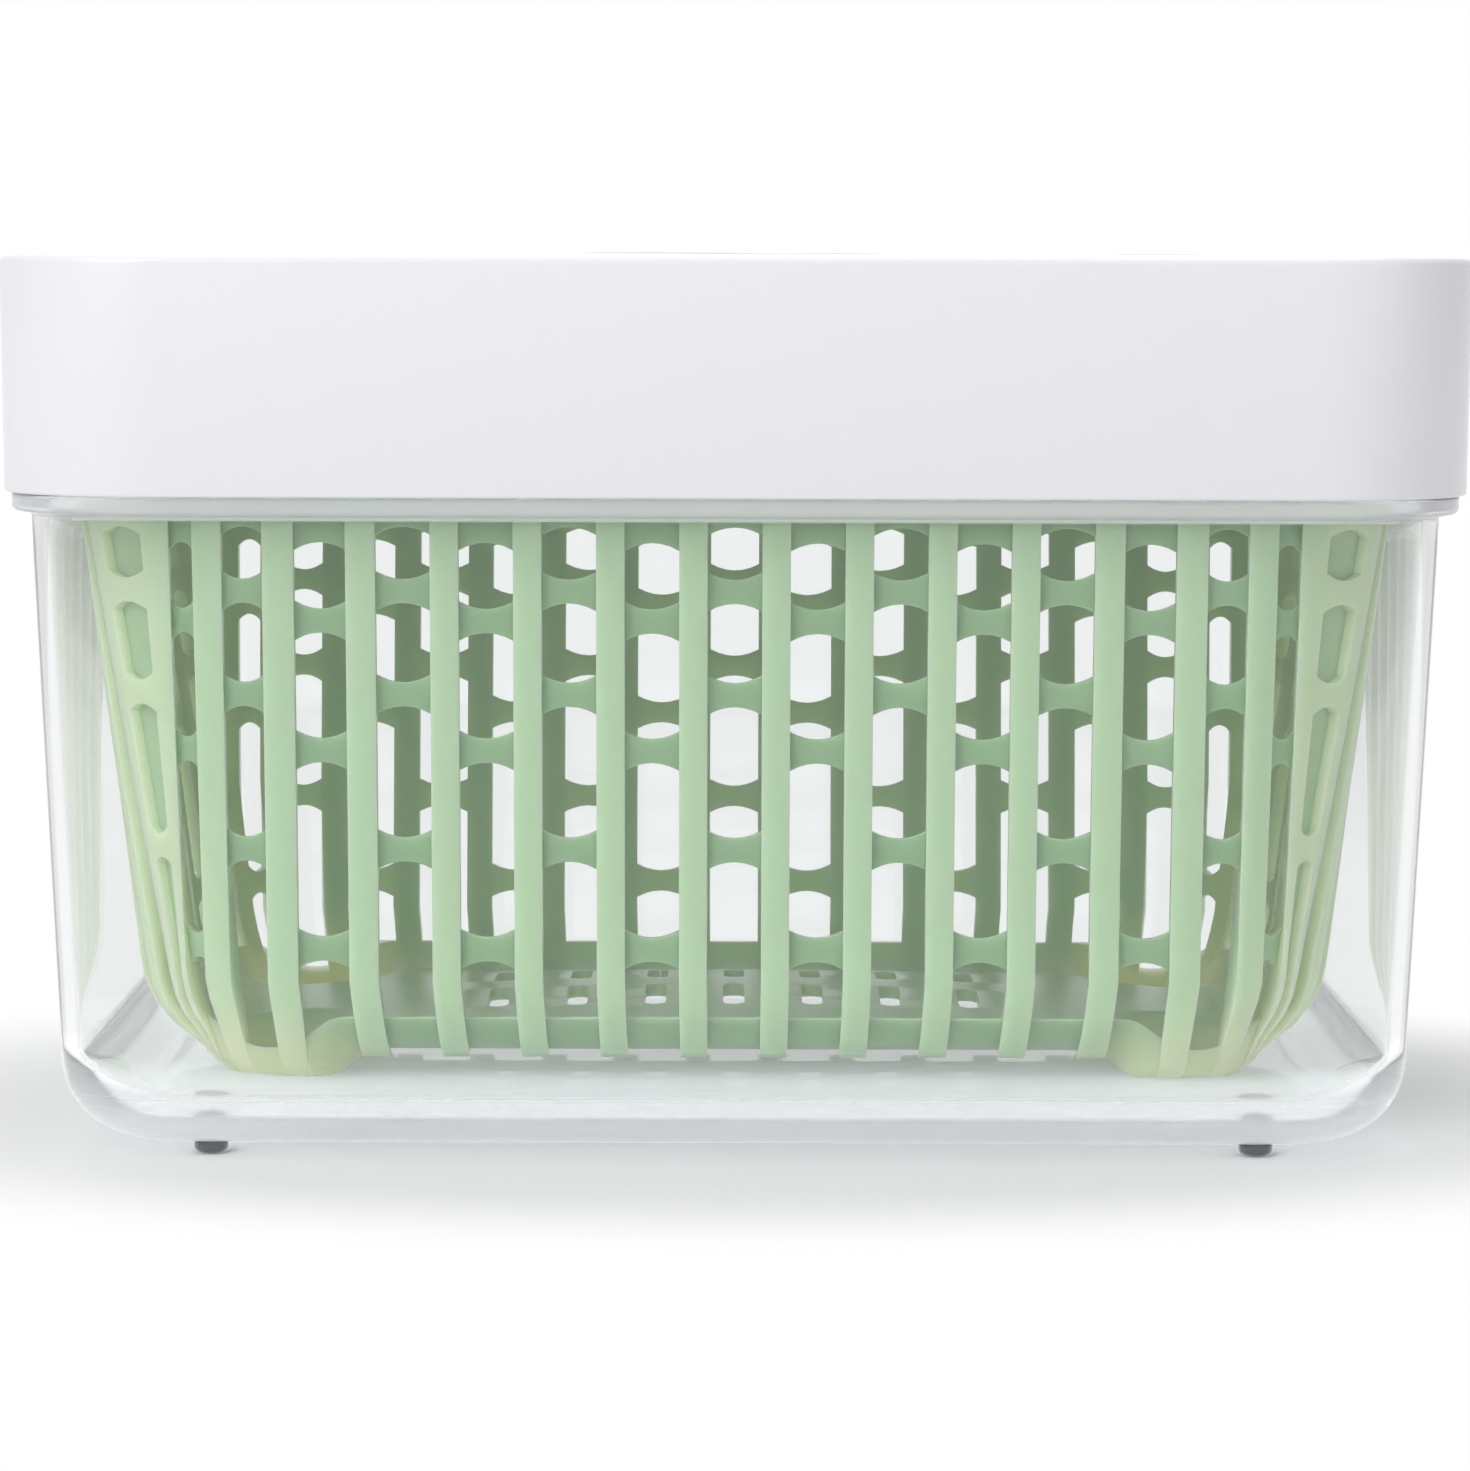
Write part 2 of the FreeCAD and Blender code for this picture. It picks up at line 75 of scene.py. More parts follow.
BASKET = {"x": TUB["x"] - TUB["wall"] - BASKET_GAP - RIM_REACH,
          "y": TUB["y"] - TUB["wall"] - BASKET_GAP - RIM_REACH,
          "corner": 24.0, "slope": math.tan(math.radians(6.5)), "rim_bottom": 86.2, "top": 90.5}
print("rim of the basket:", [round(BASKET[axis] + RIM_REACH, 2) for axis in "xy"], "mm, half sizes")


# %% [markdown]
# ## From numbers to a mesh
# Every piece here starts as a few lists of points. `solid` takes points and faces, joins points that
# coincide, makes all faces look outwards and shows the piece. A modifier could smooth the result, but
# moulded plastic is flat and round in known places, so it is enough to shade it smoothly and to keep an
# edge sharp where two faces meet at a clear angle.
# %% A mesh from points
SHARP, JOIN = 38.0, 1e-7


def shaded(work, mesh, sharp):
    """Writes a bmesh into a mesh, smooth but for edges over an angle."""
    for face in work.faces:
        face.smooth = True
    limit = math.radians(sharp)
    for line in work.edges:
        line.smooth = len(line.link_faces) == 2 and line.calc_face_angle(0.0) < limit
    work.to_mesh(mesh)
    work.free()


def finished(name, mesh, work, sharp):
    """Writes a bmesh into its mesh and shows it as a piece."""
    shaded(work, mesh, sharp)
    piece = bpy.data.objects.new(name, mesh)
    bpy.context.scene.collection.objects.link(piece)
    return piece


def solid(name, points, faces, sharp=SHARP, thin=()):
    """Piece in metres from points in millimetres; faces numbered in thin take the second finish."""
    mesh = bpy.data.meshes.new(name)
    mesh.from_pydata([Vector(point) * MM for point in points], [], faces)
    for number in thin:
        mesh.polygons[number].material_index = 1
    work = bmesh.new()
    work.from_mesh(mesh)
    bmesh.ops.remove_doubles(work, verts=work.verts, dist=JOIN)
    bmesh.ops.recalc_face_normals(work, faces=work.faces)
    return finished(name, mesh, work, sharp)


print("edges stay sharp over", SHARP, "degrees")


# %% [markdown]
# ## Round edges and cuts
# No moulded edge is truly sharp, and the thin highlight along it is what makes plastic look real. The
# Bevel modifier rounds all edges over an angle at once. The Boolean modifier cuts or joins whole shapes.
# Both are applied straight away, so that every later step works on plain meshes.
# %% Modifiers
def evened(piece, sharp=SHARP):
    """Applies the piece's modifiers and shades the result afresh."""
    depsgraph = bpy.context.evaluated_depsgraph_get()
    mesh = bpy.data.meshes.new_from_object(piece.evaluated_get(depsgraph))
    piece.modifiers.clear()
    work = bmesh.new()
    work.from_mesh(mesh)
    shaded(work, mesh, sharp)
    piece.data = mesh
    return piece


def rounded(piece, width, steps, angle, finish=-1):
    """Rounds every edge sharper than angle, as a mould does; finish numbers the material of the new faces."""
    bevel = piece.modifiers.new("edges", "BEVEL")
    bevel.width, bevel.segments = width * MM, steps
    bevel.limit_method, bevel.angle_limit = "ANGLE", math.radians(angle)
    bevel.miter_outer, bevel.material = "MITER_ARC", finish
    return evened(piece)


def cut(piece, tools, operation="DIFFERENCE"):
    """Cuts tools out of a piece, or joins them to it, and removes them."""
    for tool in tools:
        step = piece.modifiers.new("cut", "BOOLEAN")
        step.operation, step.object, step.solver = operation, tool, "EXACT"
    evened(piece)
    for tool in tools:
        bpy.data.objects.remove(tool)
    return piece


print("modifiers used: Bevel and Boolean")


# %% [markdown]
# ## Rings
# The tub, the lid and the basket all have the plan of a rectangle with round corners. A ring of points
# at each height, joined to the next by a band of faces, gives the wall, and the first and last rings are
# closed with a flat face. A subdivided cube would be quicker, but its corners would not be true arcs and
# clear plastic shows every dent in an arc.
# %% Rings and arcs
def ring(half_x, half_y, corner, z, steps=14):
    """Points of a level rectangle with round corners."""
    points = []
    for quarter, (sx, sy) in enumerate([(1, 1), (-1, 1), (-1, -1), (1, -1)]):
        for step in range(steps + 1):
            turn = math.radians(90 * (quarter + step / steps))
            points.append((sx * (half_x - corner) + corner * math.cos(turn),
                           sy * (half_y - corner) + corner * math.sin(turn), z))
    return points


def circle(radius, z, sides=64, x=0.0, y=0.0):
    """Points of a level circle."""
    turns = [2 * math.pi * side / sides for side in range(sides)]
    return [(x + radius * math.cos(turn), y + radius * math.sin(turn), z) for turn in turns]


def arc(middle, radius, start, end, steps):
    """Points (across, height) of an arc; angles in degrees, 0 points across."""
    turns = [math.radians(start + (end - start) * step / steps) for step in range(steps + 1)]
    return [(middle[0] + radius * math.cos(turn), middle[1] + radius * math.sin(turn)) for turn in turns]


print("points in a ring:", len(ring(2.0, 2.0, 1.0, 0.0)), "and in a circle:", len(circle(1.0, 0.0)))


# %% [markdown]
# `loft` stacks rings into a solid. A turned piece and a plain block are lofts of circles and of
# rectangles, so one rule for faces serves them all.
# %% Lofts
def loft(name, rings, sharp=SHARP):
    """Solid through closed rings of equally many points, with flat ends."""
    count = len(rings[0])
    faces = [list(range(count)), [len(rings) * count - 1 - i for i in range(count)]]
    for low in range(0, (len(rings) - 1) * count, count):
        faces += [(low + i, low + (i + 1) % count, low + count + (i + 1) % count, low + count + i)
                  for i in range(count)]
    return solid(name, [point for level in rings for point in level], faces, sharp)


def turned(name, profile, x=0.0, y=0.0, sides=64, sharp=SHARP):
    """Solid turned about an upright axis from (radius, height) pairs."""
    return loft(name, [circle(radius, z, sides, x, y) for radius, z in profile], sharp)


def block(name, low, high):
    """Plain tool for cutting or joining, between two corners."""
    plan = (low[0], low[1]), (high[0], low[1]), (high[0], high[1]), (low[0], high[1])
    return loft(name, [[(x, y, z) for x, y in plan] for z in (low[2], high[2])])


print("solids come from: loft, turned and block")


# %% [markdown]
# ## The tub's shape
# The tub is moulded from clear plastic: a thick floor, walls that lean out a little so that it leaves its
# mould, a soft bend below and a flange near the top that carries the lid. One profile, from the middle of
# the underside up the outside, over the rim and down the inside to the floor, says all of that. Each
# point of it is an offset from the leaning wall and a height.
# %% The tub
FLANGE_FOOT, FLANGE_REACH = [(0.0, 86.2), (0.15, 86.55), (0.5, 86.7)], 2.55
FLANGE_ROUND, LIP_ROUND, RIM_ROUND = 0.9, 0.5, 0.7


def tub_ring(offset, z):
    """Ring of the tub at a height, offset outwards from its leaning wall."""
    lean = TUB["slope"] * (z - LID_BOTTOM)
    return ring(TUB["x"] + lean + offset, TUB["y"] + lean + offset, TUB["corner"] + offset, z)


outside = arc((-TUB["bend"], FOOT_HEIGHT + TUB["bend"]), TUB["bend"], -90, 0, 10)
flange = FLANGE_FOOT + arc((FLANGE_REACH - FLANGE_ROUND, 87.6), FLANGE_ROUND, -90, 0, 4)
flange += arc((FLANGE_REACH - LIP_ROUND, LID_BOTTOM - LIP_ROUND), LIP_ROUND, 0, 90, 3)
rim = arc((-1.4, LID_BOTTOM - RIM_ROUND), RIM_ROUND, 90, 180, 4)
inside = [(-TUB["wall"] - TUB["inner_bend"] + r, z) for r, z in
          arc((0.0, TUB["floor"] + TUB["inner_bend"]), TUB["inner_bend"], 0, -90, 9)]
tub = loft("tub_clear", [tub_ring(*spot) for spot in outside + flange + rim + inside], sharp=60)
print("tub:", len(tub.data.polygons), "faces")

# %% [markdown]
# ## The basket's wall
# Upright ribs stand proud of a thin wall, and between them the wall is pierced by columns of slots whose
# ends are arched. Cutting a hundred slots out of a shell would leave ragged edges. Instead the wall is
# laid out as a grid, like graph paper wrapped round the basket: stations run along it and rows run down
# it, and each cell is a hole, a thin bar, a rib or the rim. Where two neighbouring cells differ in depth,
# a small wall closes the step between them.
#
# The columns take turns between two kinds, A and B, whose slots are staggered like bricks. They keep
# their pitch along the wall and round its corner, and look narrower there, as seen from straight ahead.
# %% Depths and slot columns
HOLE, BAR, RIB, RIM = range(4)
DEPTHS = [2.9, 1.3, 0.0, -RIM_REACH]
LOWS, BENDS = [14.8, 13.0, 11.7, 11.7], [9.1, 10.7, 12.0, 12.0]
SLOT_WIDTH, PITCH, SAG, SLOT_FOOT = 7.25, 11.0, 1.05, 18.5
SLOT_ENDS = {"A": [(85.5, 78.5), (75.3, 64.6), (61.4, 43.5), (40.3, SLOT_FOOT)],
             "B": [(83.4, 74.5), (71.3, 57.0), (53.8, 29.8), (26.6, SLOT_FOOT)]}
BEND_BACK, BEND_RADIUS, LAST_TURN, HIDDEN = 39.2, 30.0, math.radians(53), 1.6


def columns(half):
    """Left edge, right edge and kind of each slot column from the middle of a wall to its corner."""
    flat, found = half - BEND_BACK, []
    for index in range(int((flat + BEND_RADIUS * LAST_TURN) / PITCH) + 1):
        turn = max(0.0, PITCH * index - flat) / BEND_RADIUS
        middle = min(PITCH * index, flat) + BEND_RADIUS * math.sin(turn)
        width = SLOT_WIDTH * math.cos(turn) - HIDDEN * math.sin(turn)
        found.append((middle - width / 2, middle + width / 2, "B" if index % 2 else "A"))
    return found


print("slot columns from the middle to a corner:", [len(columns(BASKET[axis])) for axis in "xy"])

# %% [markdown]
# A station stands at both edges of each slot, at a few places across it for the arch of its ends, and in
# the middle of each rib. A corner of the basket has no slots. It gets one blind pocket between two ribs.
# %% Stations along the wall
ACROSS = 6
CORNER_RIB, POCKET_START, POCKET_SPAN = 0.13, 0.26, 0.48


def wall_stations(half, wall):
    """Stations along half a wall, each with its place and the share across its slot."""
    made, edges = [], columns(half)
    for number, (left, right, kind) in enumerate(edges):
        for step in range(ACROSS // 2 if number == 0 else 0, ACROSS + 1):
            share = step / ACROSS
            made.append({"wall": wall, "at": left + (right - left) * share, "share": share, "kind": kind,
                         "slot": step < ACROSS})
        if number + 1 < len(edges):
            middle = (right + edges[number + 1][0]) / 2
            made.append({"wall": wall, "at": middle, "share": None, "kind": None, "slot": False})
    return made


def corner_station(blend, step=None):
    """Station at a share of the corner's turn; step counts across its blind pocket."""
    in_pocket = step is not None
    return {"wall": "corner", "blend": blend, "share": step / ACROSS if in_pocket else None,
            "kind": "A" if in_pocket else None, "slot": in_pocket and step < ACROSS}


front, side = wall_stations(BASKET["x"], "front"), wall_stations(BASKET["y"], "side")
pocket = [corner_station(POCKET_START + POCKET_SPAN * step / ACROSS, step) for step in range(ACROSS + 1)]
corner = [corner_station(CORNER_RIB)] + pocket + [corner_station(1 - CORNER_RIB)]
stations = front + corner + side[::-1]
cell_slots = []
for here, following in zip(stations, stations[1:]):
    on_side = here["wall"] == "side" and following["wall"] == "side"
    cell_slots.append((following if on_side else here)["slot"] and here["wall"] == following["wall"])
print("stations:", len(front), "in front,", len(corner), "in the corner and", len(side), "at the side")

# %% [markdown]
# A row runs at the end of every slot, and its arch is the amount by which that end is drawn up or down in
# the middle. Below the wall the rows follow the bend, down to the foot of the last slots and on under the
# floor, where the ribs run out.
# %% Rows down the wall
BEND_SHARES, TIP_SHARES = (0.5, 1.0), (0.75, 0.5, 0.27, 0.12, 0.0)

heights = {BASKET["top"]: None, BASKET["rim_bottom"]: None}
for kind, spans in SLOT_ENDS.items():
    for high, low in spans:
        heights[round(high - SAG, 3)] = (kind, SAG)
        if low > SLOT_FOOT:
            heights[round(low + SAG, 3)] = (kind, -SAG)
rows = [{"z": z, "arch": heights[z]} for z in sorted(heights, reverse=True)]
rows.append({"turns": [90.0] * len(LOWS)})
foot_turns = [math.degrees(math.acos(1 - (SLOT_FOOT - low) / bend)) for low, bend in zip(LOWS, BENDS)]
for share in BEND_SHARES:
    rows.append({"turns": [90 - (90 - turn) * share for turn in foot_turns]})
slot_foot_row = len(rows) - 1
for share in TIP_SHARES:
    rows.append({"turns": [turn * share for turn in foot_turns], "share": share})
print("basket grid:", len(stations), "stations by", len(rows), "rows for a quarter of the wall")


# %% [markdown]
# Each crossing of a station and a row is placed in space, at four depths. Round a corner the place along
# the wall is kept while the wall leans in, so that the ribs fan like the real ones.
# %% Round the corner
CORNER_LIMIT = math.radians(82)
TIP_SPREAD = {0.12: 0.4, 0.0: 0.8}


def centre(z):
    """Middle of the corner arcs at a height."""
    lean = BASKET["slope"] * (BASKET["rim_bottom"] - z)
    return BASKET["x"] - lean - BASKET["corner"], BASKET["y"] - lean - BASKET["corner"]


def arc_angle(at, wall, z, radius):
    """How far round the corner a place along a wall stands, and its share of the straight part."""
    axis, round_top = (0 if wall == "front" else 1), BASKET["corner"]
    flat, top_flat, along = centre(z)[axis], centre(BASKET["rim_bottom"])[axis], at
    if at > top_flat:
        along = top_flat + round_top * math.asin((at - top_flat) / round_top)
    if along <= flat:
        return 0.0, along / flat
    across = round_top * math.sin((along - flat) / round_top)
    return math.asin(min(1.0, across / radius)), 1.0


def spread_at(station, row):
    """Place along the wall; slots widen in the last rows, so that the ribs end in a narrow tip."""
    spread = TIP_SPREAD.get(row.get("share"), 0.0)
    if station["share"] is None or not spread:
        return station["at"]
    return station["at"] + (PITCH - SLOT_WIDTH) / 2 * spread * (2 * station["share"] - 1)


def angle_on(station, row, z, radius):
    """Angle and share of a station; angles are held back where the last slots would meet."""
    ends_at = [arc_angle(spread_at(wall[-1], row), wall[-1]["wall"], z, radius)[0] for wall in (front, side)]
    held = min(1.0, CORNER_LIMIT / sum(ends_at))
    if station["wall"] == "corner":
        first, final = ends_at[0] * held, math.pi / 2 - ends_at[1] * held
        return first + (final - first) * station["blend"], 1.0
    angle, share = arc_angle(spread_at(station, row), station["wall"], z, radius)
    return angle * held, share


print("corner arcs turn about", [round(value, 1) for value in centre(BASKET["rim_bottom"])], "mm")


# %% [markdown]
# The basket stands on four hollow legs, ovals drawn down out of its floor near the corners. They could be
# separate cups, but the real ones are one skin with the floor, so a share from 0 to 1 says how much of
# the drop each point takes. The floor is also crowned, so that water runs off.
# %% Legs and crown
LEG = {"x": 61.5, "y": 33.5, "oval": 0.64, "reach": 18.5, "soft": 8.0, "top": 25.0, "fade": 9.0, "drop": 6.55}
CROWN = {"rise": 3.2, "x": 69.0, "y": 37.0}


def leg_share(x, y, z):
    """1 in a leg, 0 away from it, and a smooth change between."""
    away = math.hypot((abs(x) - LEG["x"]) / LEG["oval"], abs(y) - LEG["y"])
    across = max(0.0, min(1.0, (LEG["reach"] - away) / LEG["soft"]))
    fade = max(0.0, min(1.0, (LEG["top"] - z) / LEG["fade"]))
    return across * across * (3 - 2 * across) * fade * fade * (3 - 2 * fade)


def crown(x, y):
    """How far the middle of the floor stands above its edge."""
    return CROWN["rise"] * max(0.0, 1 - (x / CROWN["x"]) ** 2) * max(0.0, 1 - (y / CROWN["y"]) ** 2)


print("crown of the floor:", crown(0.0, 0.0), "mm, drop of a leg:", LEG["drop"], "mm")


# %% [markdown]
# In the bend each depth turns on its own radius, so the wall keeps its thickness while it turns under the
# floor. The ribs end there in a rounded tip: the last rows narrow and thin them out. In a leg they melt
# into its skin.
# %% Placing a crossing
TIP, TIP_LIFT = 0.12, 0.45


def bare_crossing(station, row, level):
    """Point of a station and a row at one depth, before the legs are drawn down."""
    low, bend, inset = LOWS[level], BENDS[level], 0.0
    if "z" in row:
        z = row["z"]
        if row["arch"] and row["arch"][0] == station["kind"]:
            z += row["arch"][1] * (1 - (2 * station["share"] - 1) ** 2)
    else:
        turn = math.radians(row["turns"][level])
        z, inset = low + bend * (1 - math.cos(turn)), bend * (1 - math.sin(turn))
        if row.get("share") == TIP and level == RIB:
            z += TIP_LIFT
    radius = BASKET["corner"] - DEPTHS[level]
    angle, share = angle_on(station, row, max(z, low + bend), radius)
    (cx, cy), reach = centre(z), radius - inset
    if station["wall"] == "side":
        return cx + reach * math.cos(angle), -(cy * share + reach * math.sin(angle)), z
    return cx * share + reach * math.sin(angle), -(cy + reach * math.cos(angle)), z


def crossing(station, row, level):
    """Point of a station and a row at one depth. Ribs melt into the legs."""
    x, y, z = bare_crossing(station, row, level)
    share = leg_share(x, y, z)
    if level == RIB:
        x, y, z = Vector((x, y, z)).lerp(bare_crossing(station, row, BAR), share)
    return x, y, z - LEG["drop"] * share


print("middle of the front rim:", [round(value, 2) for value in crossing(stations[0], rows[0], RIM)])


# %% [markdown]
# With every crossing known, each cell is given its depth. A slot's cells are found by their heights. In
# the blind pockets of the corners a slot becomes a bar, and a bar becomes part of the rib.
# %% Depth of a cell
NEAR = 0.01


def row_height(number):
    """Nominal height of a row."""
    row = rows[number]
    if "z" in row:
        return row["z"]
    return LOWS[RIB] + BENDS[RIB] * (1 - math.cos(math.radians(row["turns"][RIB])))


def level_of(column, number):
    """Depth of the cell that follows a station and a row."""
    if number == 0:
        return RIM
    if not cell_slots[column]:
        return RIB
    if number >= slot_foot_row:
        return BAR
    station = stations[column + 1 if stations[column]["wall"] == "side" else column]
    blind = station["wall"] == "corner"
    low, top = sorted((row_height(number), row_height(number + 1)))
    for high_end, low_end in SLOT_ENDS[station["kind"]]:
        end = low_end + (SAG if low_end > SLOT_FOOT else 0)
        if low >= end - NEAR and top <= high_end - SAG + NEAR:
            return BAR if blind else HOLE
    return RIB if blind else BAR


last_column, last_row = len(stations) - 1, len(rows) - 1
cells = [level_of(column, number) for column in range(last_column) for number in range(last_row)]
print("cells of a quarter:", len(cells), "of which open:", cells.count(HOLE))


# %% [markdown]
# Then the faces follow. Each closed cell gets an outer and an inner face, and each step between
# neighbours is closed one depth at a time, so that no two faces meet only along part of an edge.
# %% Faces of the wall
points, index_of, faces, shaded_bar_faces = [], {}, [], []


def corner_index(column, number, level):
    """Number of a crossing's point; made when first asked for."""
    if number == last_row and level > BAR:
        level = BAR
    key = (column, number, level)
    if key not in index_of:
        index_of[key] = len(points)
        points.append(crossing(stations[column], rows[number], level))
    return index_of[key]


def add_face(*corners):
    """Adds a face unless its corners run together."""
    kept = [number for i, number in enumerate(corners) if number != corners[i - 1]]
    if len(set(kept)) > 2:
        faces.append(kept)


def close_step(first, second, one, other):
    """Closes the step between two depths along the edge from crossing one to crossing other."""
    for level in range(min(first, second), max(first, second)):
        add_face(corner_index(*one, level), corner_index(*other, level),
                 corner_index(*other, level + 1), corner_index(*one, level + 1))


for column in range(last_column):
    for number in range(last_row):
        level = level_of(column, number)
        around = [(column, number), (column + 1, number), (column + 1, number + 1), (column, number + 1)]
        if level != HOLE:
            # The outer faces of the bars take the second finish, a deeper green that is painted shade in the
            # recesses.
            if level == BAR:
                shaded_bar_faces.append(len(faces))
            add_face(*[corner_index(*spot, level) for spot in around])
            add_face(*[corner_index(*spot, HOLE) for spot in around])
        if column + 1 < last_column:
            close_step(level, level_of(column + 1, number), around[1], around[2])
        if number + 1 < last_row:
            close_step(level, level_of(column, number + 1), around[3], around[2])
    close_step(HOLE, RIM, (column, 0), (column + 1, 0))
print("a quarter of the wall:", len(points), "points,", len(faces), "faces")

# %% [markdown]
# The floor carries on inwards from the last row in smaller and smaller rings, crowned in the middle and
# pulled down at the corners into the legs. One quarter is built and mirrored twice, and the points on
# the seams are joined.
# %% Floor and quarters
SHRINK = [1 - step / 40 for step in range(1, 13)] + [0.6, 0.4, 0.2, 0.0]
QUARTERS = ((1, 1), (-1, 1), (1, -1), (-1, -1))

for level in (BAR, HOLE):
    before = [corner_index(column, last_row, level) for column in range(len(stations))]
    edge_points = [points[i] for i in before]
    for share in SHRINK:
        now = []
        for x, y in [(point[0] * share, point[1] * share) for point in edge_points]:
            now.append(len(points))
            points.append((x, y, LOWS[level] - LEG["drop"] * leg_share(x, y, LOWS[level]) + crown(x, y)))
        for i in range(len(now) - 1):
            add_face(before[i], before[i + 1], now[i + 1], now[i])
        before = now
all_points = [(sx * x, sy * y, z) for sx, sy in QUARTERS for x, y, z in points]
all_faces = [[i + len(points) * copy for i in face] for copy in range(4) for face in faces]
all_shaded_bars = [number + len(faces) * copy for copy in range(4) for number in shaded_bar_faces]
basket = solid("basket_green", all_points, all_faces, sharp=30, thin=all_shaded_bars)
loose = sum(line.is_loose for line in basket.data.edges)
print("basket:", len(basket.data.polygons), "faces,", loose, "loose edges")

# %% [markdown]
# The floor drains through two rows of slots. These are few and flat, so here a boolean cut is the simple
# way, and a narrow bevel then rounds every edge of the basket at once, as the mould's polish does. The
# new faces take a material of their own, which paints a pale highlight with a glow on them, and Bevel can
# only number a slot that the piece already has.
# %% Drain slots and edges
DRAIN = {"width": 3.0, "length": 16.0, "apart": 24.0, "low": 8.0, "high": 24.0}
# The finish numbered EDGE_FINISH paints a pale highlight with a glow on the rounded edges.
EDGE_FINISH, EDGE_WIDTH = 2, 0.28


def drain_tool(x, y):
    """Upright tool with round ends, long along Y."""
    radius, half = DRAIN["width"] / 2, (DRAIN["length"] - DRAIN["width"]) / 2
    turns = [math.pi * step / 6 for step in range(7)]
    plan = [(x + end * radius * math.cos(turn), y + end * half + end * radius * math.sin(turn))
            for end in (1, -1) for turn in turns]
    return loft("drain", [[(px, py, z) for px, py in plan] for z in (DRAIN["low"], DRAIN["high"])])


cut(basket, [drain_tool(PITCH * column, DRAIN["apart"] * row)
             for column in range(-3, 4) for row in (-0.5, 0.5)])
for number in range(EDGE_FINISH + 1):
    basket.data.materials.append(None)
rounded(basket, EDGE_WIDTH, steps=2, angle=38, finish=EDGE_FINISH)
print("basket with rounded edges:", len(basket.data.polygons), "faces")

# %% [markdown]
# ## The lid's shape
# The lid is a deep white cap. Its outer face is one smooth wall with a small radius at the top edge and a
# thin hem below. The form is a loft like the tub's, turned upside down.
# %% The lid's shell
HEM_ROUND, HEM_MIDDLE, ROOF_ROUND = 0.4, 0.45, 1.2


def lid_ring(offset, z):
    """Ring of the lid at a height, offset outwards from its leaning wall."""
    lean = LID["slope"] * (z - HEIGHT + LID["edge"]) if z < HEIGHT - LID["edge"] else 0.0
    return ring(LENGTH / 2 + lean + offset, DEPTH / 2 + lean + offset, LID["corner"] + offset, z, steps=18)


edge, wall, top = LID["edge"], LID["wall"], LID["inner_top"]
outer = arc((-edge, HEIGHT - edge), edge, 90, 0, 6)
hem = arc((-HEM_ROUND, LID_BOTTOM + HEM_MIDDLE), HEM_ROUND, 0, -90, 3)
hem += arc((-wall + HEM_ROUND, LID_BOTTOM + HEM_MIDDLE), HEM_ROUND, -90, -180, 3)
roof = arc((-wall - ROOF_ROUND, top - ROOF_ROUND), ROOF_ROUND, 0, 90, 4)
lid = loft("lid_white", [lid_ring(*spot) for spot in outer + hem + roof], sharp=50)
print("lid's shell:", len(lid.data.polygons), "faces")

# %% [markdown]
# Under the roof the lid has the wells of the vent and the date dial, stiffening ribs and four hooks that
# hold the filter housing. They are added with a boolean union. Every one of them reaches a little into
# the roof or into its neighbour, because shapes that only touch don't join cleanly.
# %% Wells, ribs and hooks
IN_ROOF = 119.6
VENT = {"pocket": 23.0, "well": 25.2, "well_low": 112.6, "floor": 114.6, "bore": 3.05}
DIAL = {"x": 64.0, "recess": 12.9, "floor": 117.9, "well": 14.7, "well_low": 116.3, "bore": 2.45}
STIFF = {"low": 113.6, "half": 0.75, "x": 45.0, "y": 37.0, "end_x": 95.3, "end_y": 63.3}
HOOK = {"y": 18.0, "half": 4.0, "outer": 35.5}
HOOK_PARTS = ((33.9, 111.0, IN_ROOF), (32.7, 110.5, 112.0))

added = [turned("well", [(VENT["well"], VENT["well_low"]), (VENT["well"], IN_ROOF)], sides=96),
         turned("well", [(DIAL["well"], DIAL["well_low"]), (DIAL["well"], IN_ROOF)], x=DIAL["x"])]
for y in (-STIFF["y"], STIFF["y"]):
    added.append(block("rib", (-STIFF["end_x"], y - STIFF["half"], STIFF["low"]),
                       (STIFF["end_x"], y + STIFF["half"], IN_ROOF)))
for x in (-STIFF["x"], STIFF["x"]):
    added.append(block("rib", (x - STIFF["half"], -STIFF["end_y"], STIFF["low"]),
                       (x + STIFF["half"], STIFF["end_y"], IN_ROOF)))
for sx, sy in ((-1, -1), (-1, 1), (1, -1), (1, 1)):
    for inner, low, high in HOOK_PARTS:
        left, right = sorted((sx * inner, sx * HOOK["outer"]))
        added.append(block("hook", (left, sy * HOOK["y"] - HOOK["half"], low),
                           (right, sy * HOOK["y"] + HOOK["half"], high)))
cut(lid, added, "UNION")
print("lid with", len(added), "shapes added:", len(lid.data.polygons), "faces")

# %% [markdown]
# Then the round beds of the disc and the dial are cut, with the holes of their stems, four windows for
# the air and the groove in which the disc's stop runs. Circles don't follow the lid's own rings, which is
# why they are cut and not lofted. Last, every edge is rounded.
# %% Pockets and windows
ABOVE = 122.0
STOP_GROOVE = {"inner": 19.3, "outer": 21.7, "angle": 56.7, "middle": 22.5, "low": 113.7, "high": 115.2}
WINDOW = {"inner": 9.0, "outer": 17.5, "angle": 34.0, "low": 112.0, "high": 115.4}


def wedge(name, inner, outer, angle, middle, low, high):
    """Tool in the form of a piece of a ring."""
    turns = [math.radians(middle + angle * (i / 8 - 0.5)) for i in range(9)]
    plan = [(inner * math.cos(turn), inner * math.sin(turn)) for turn in turns]
    plan += [(outer * math.cos(turn), outer * math.sin(turn)) for turn in turns[::-1]]
    return loft(name, [[(x, y, z) for x, y in plan] for z in (low, high)])


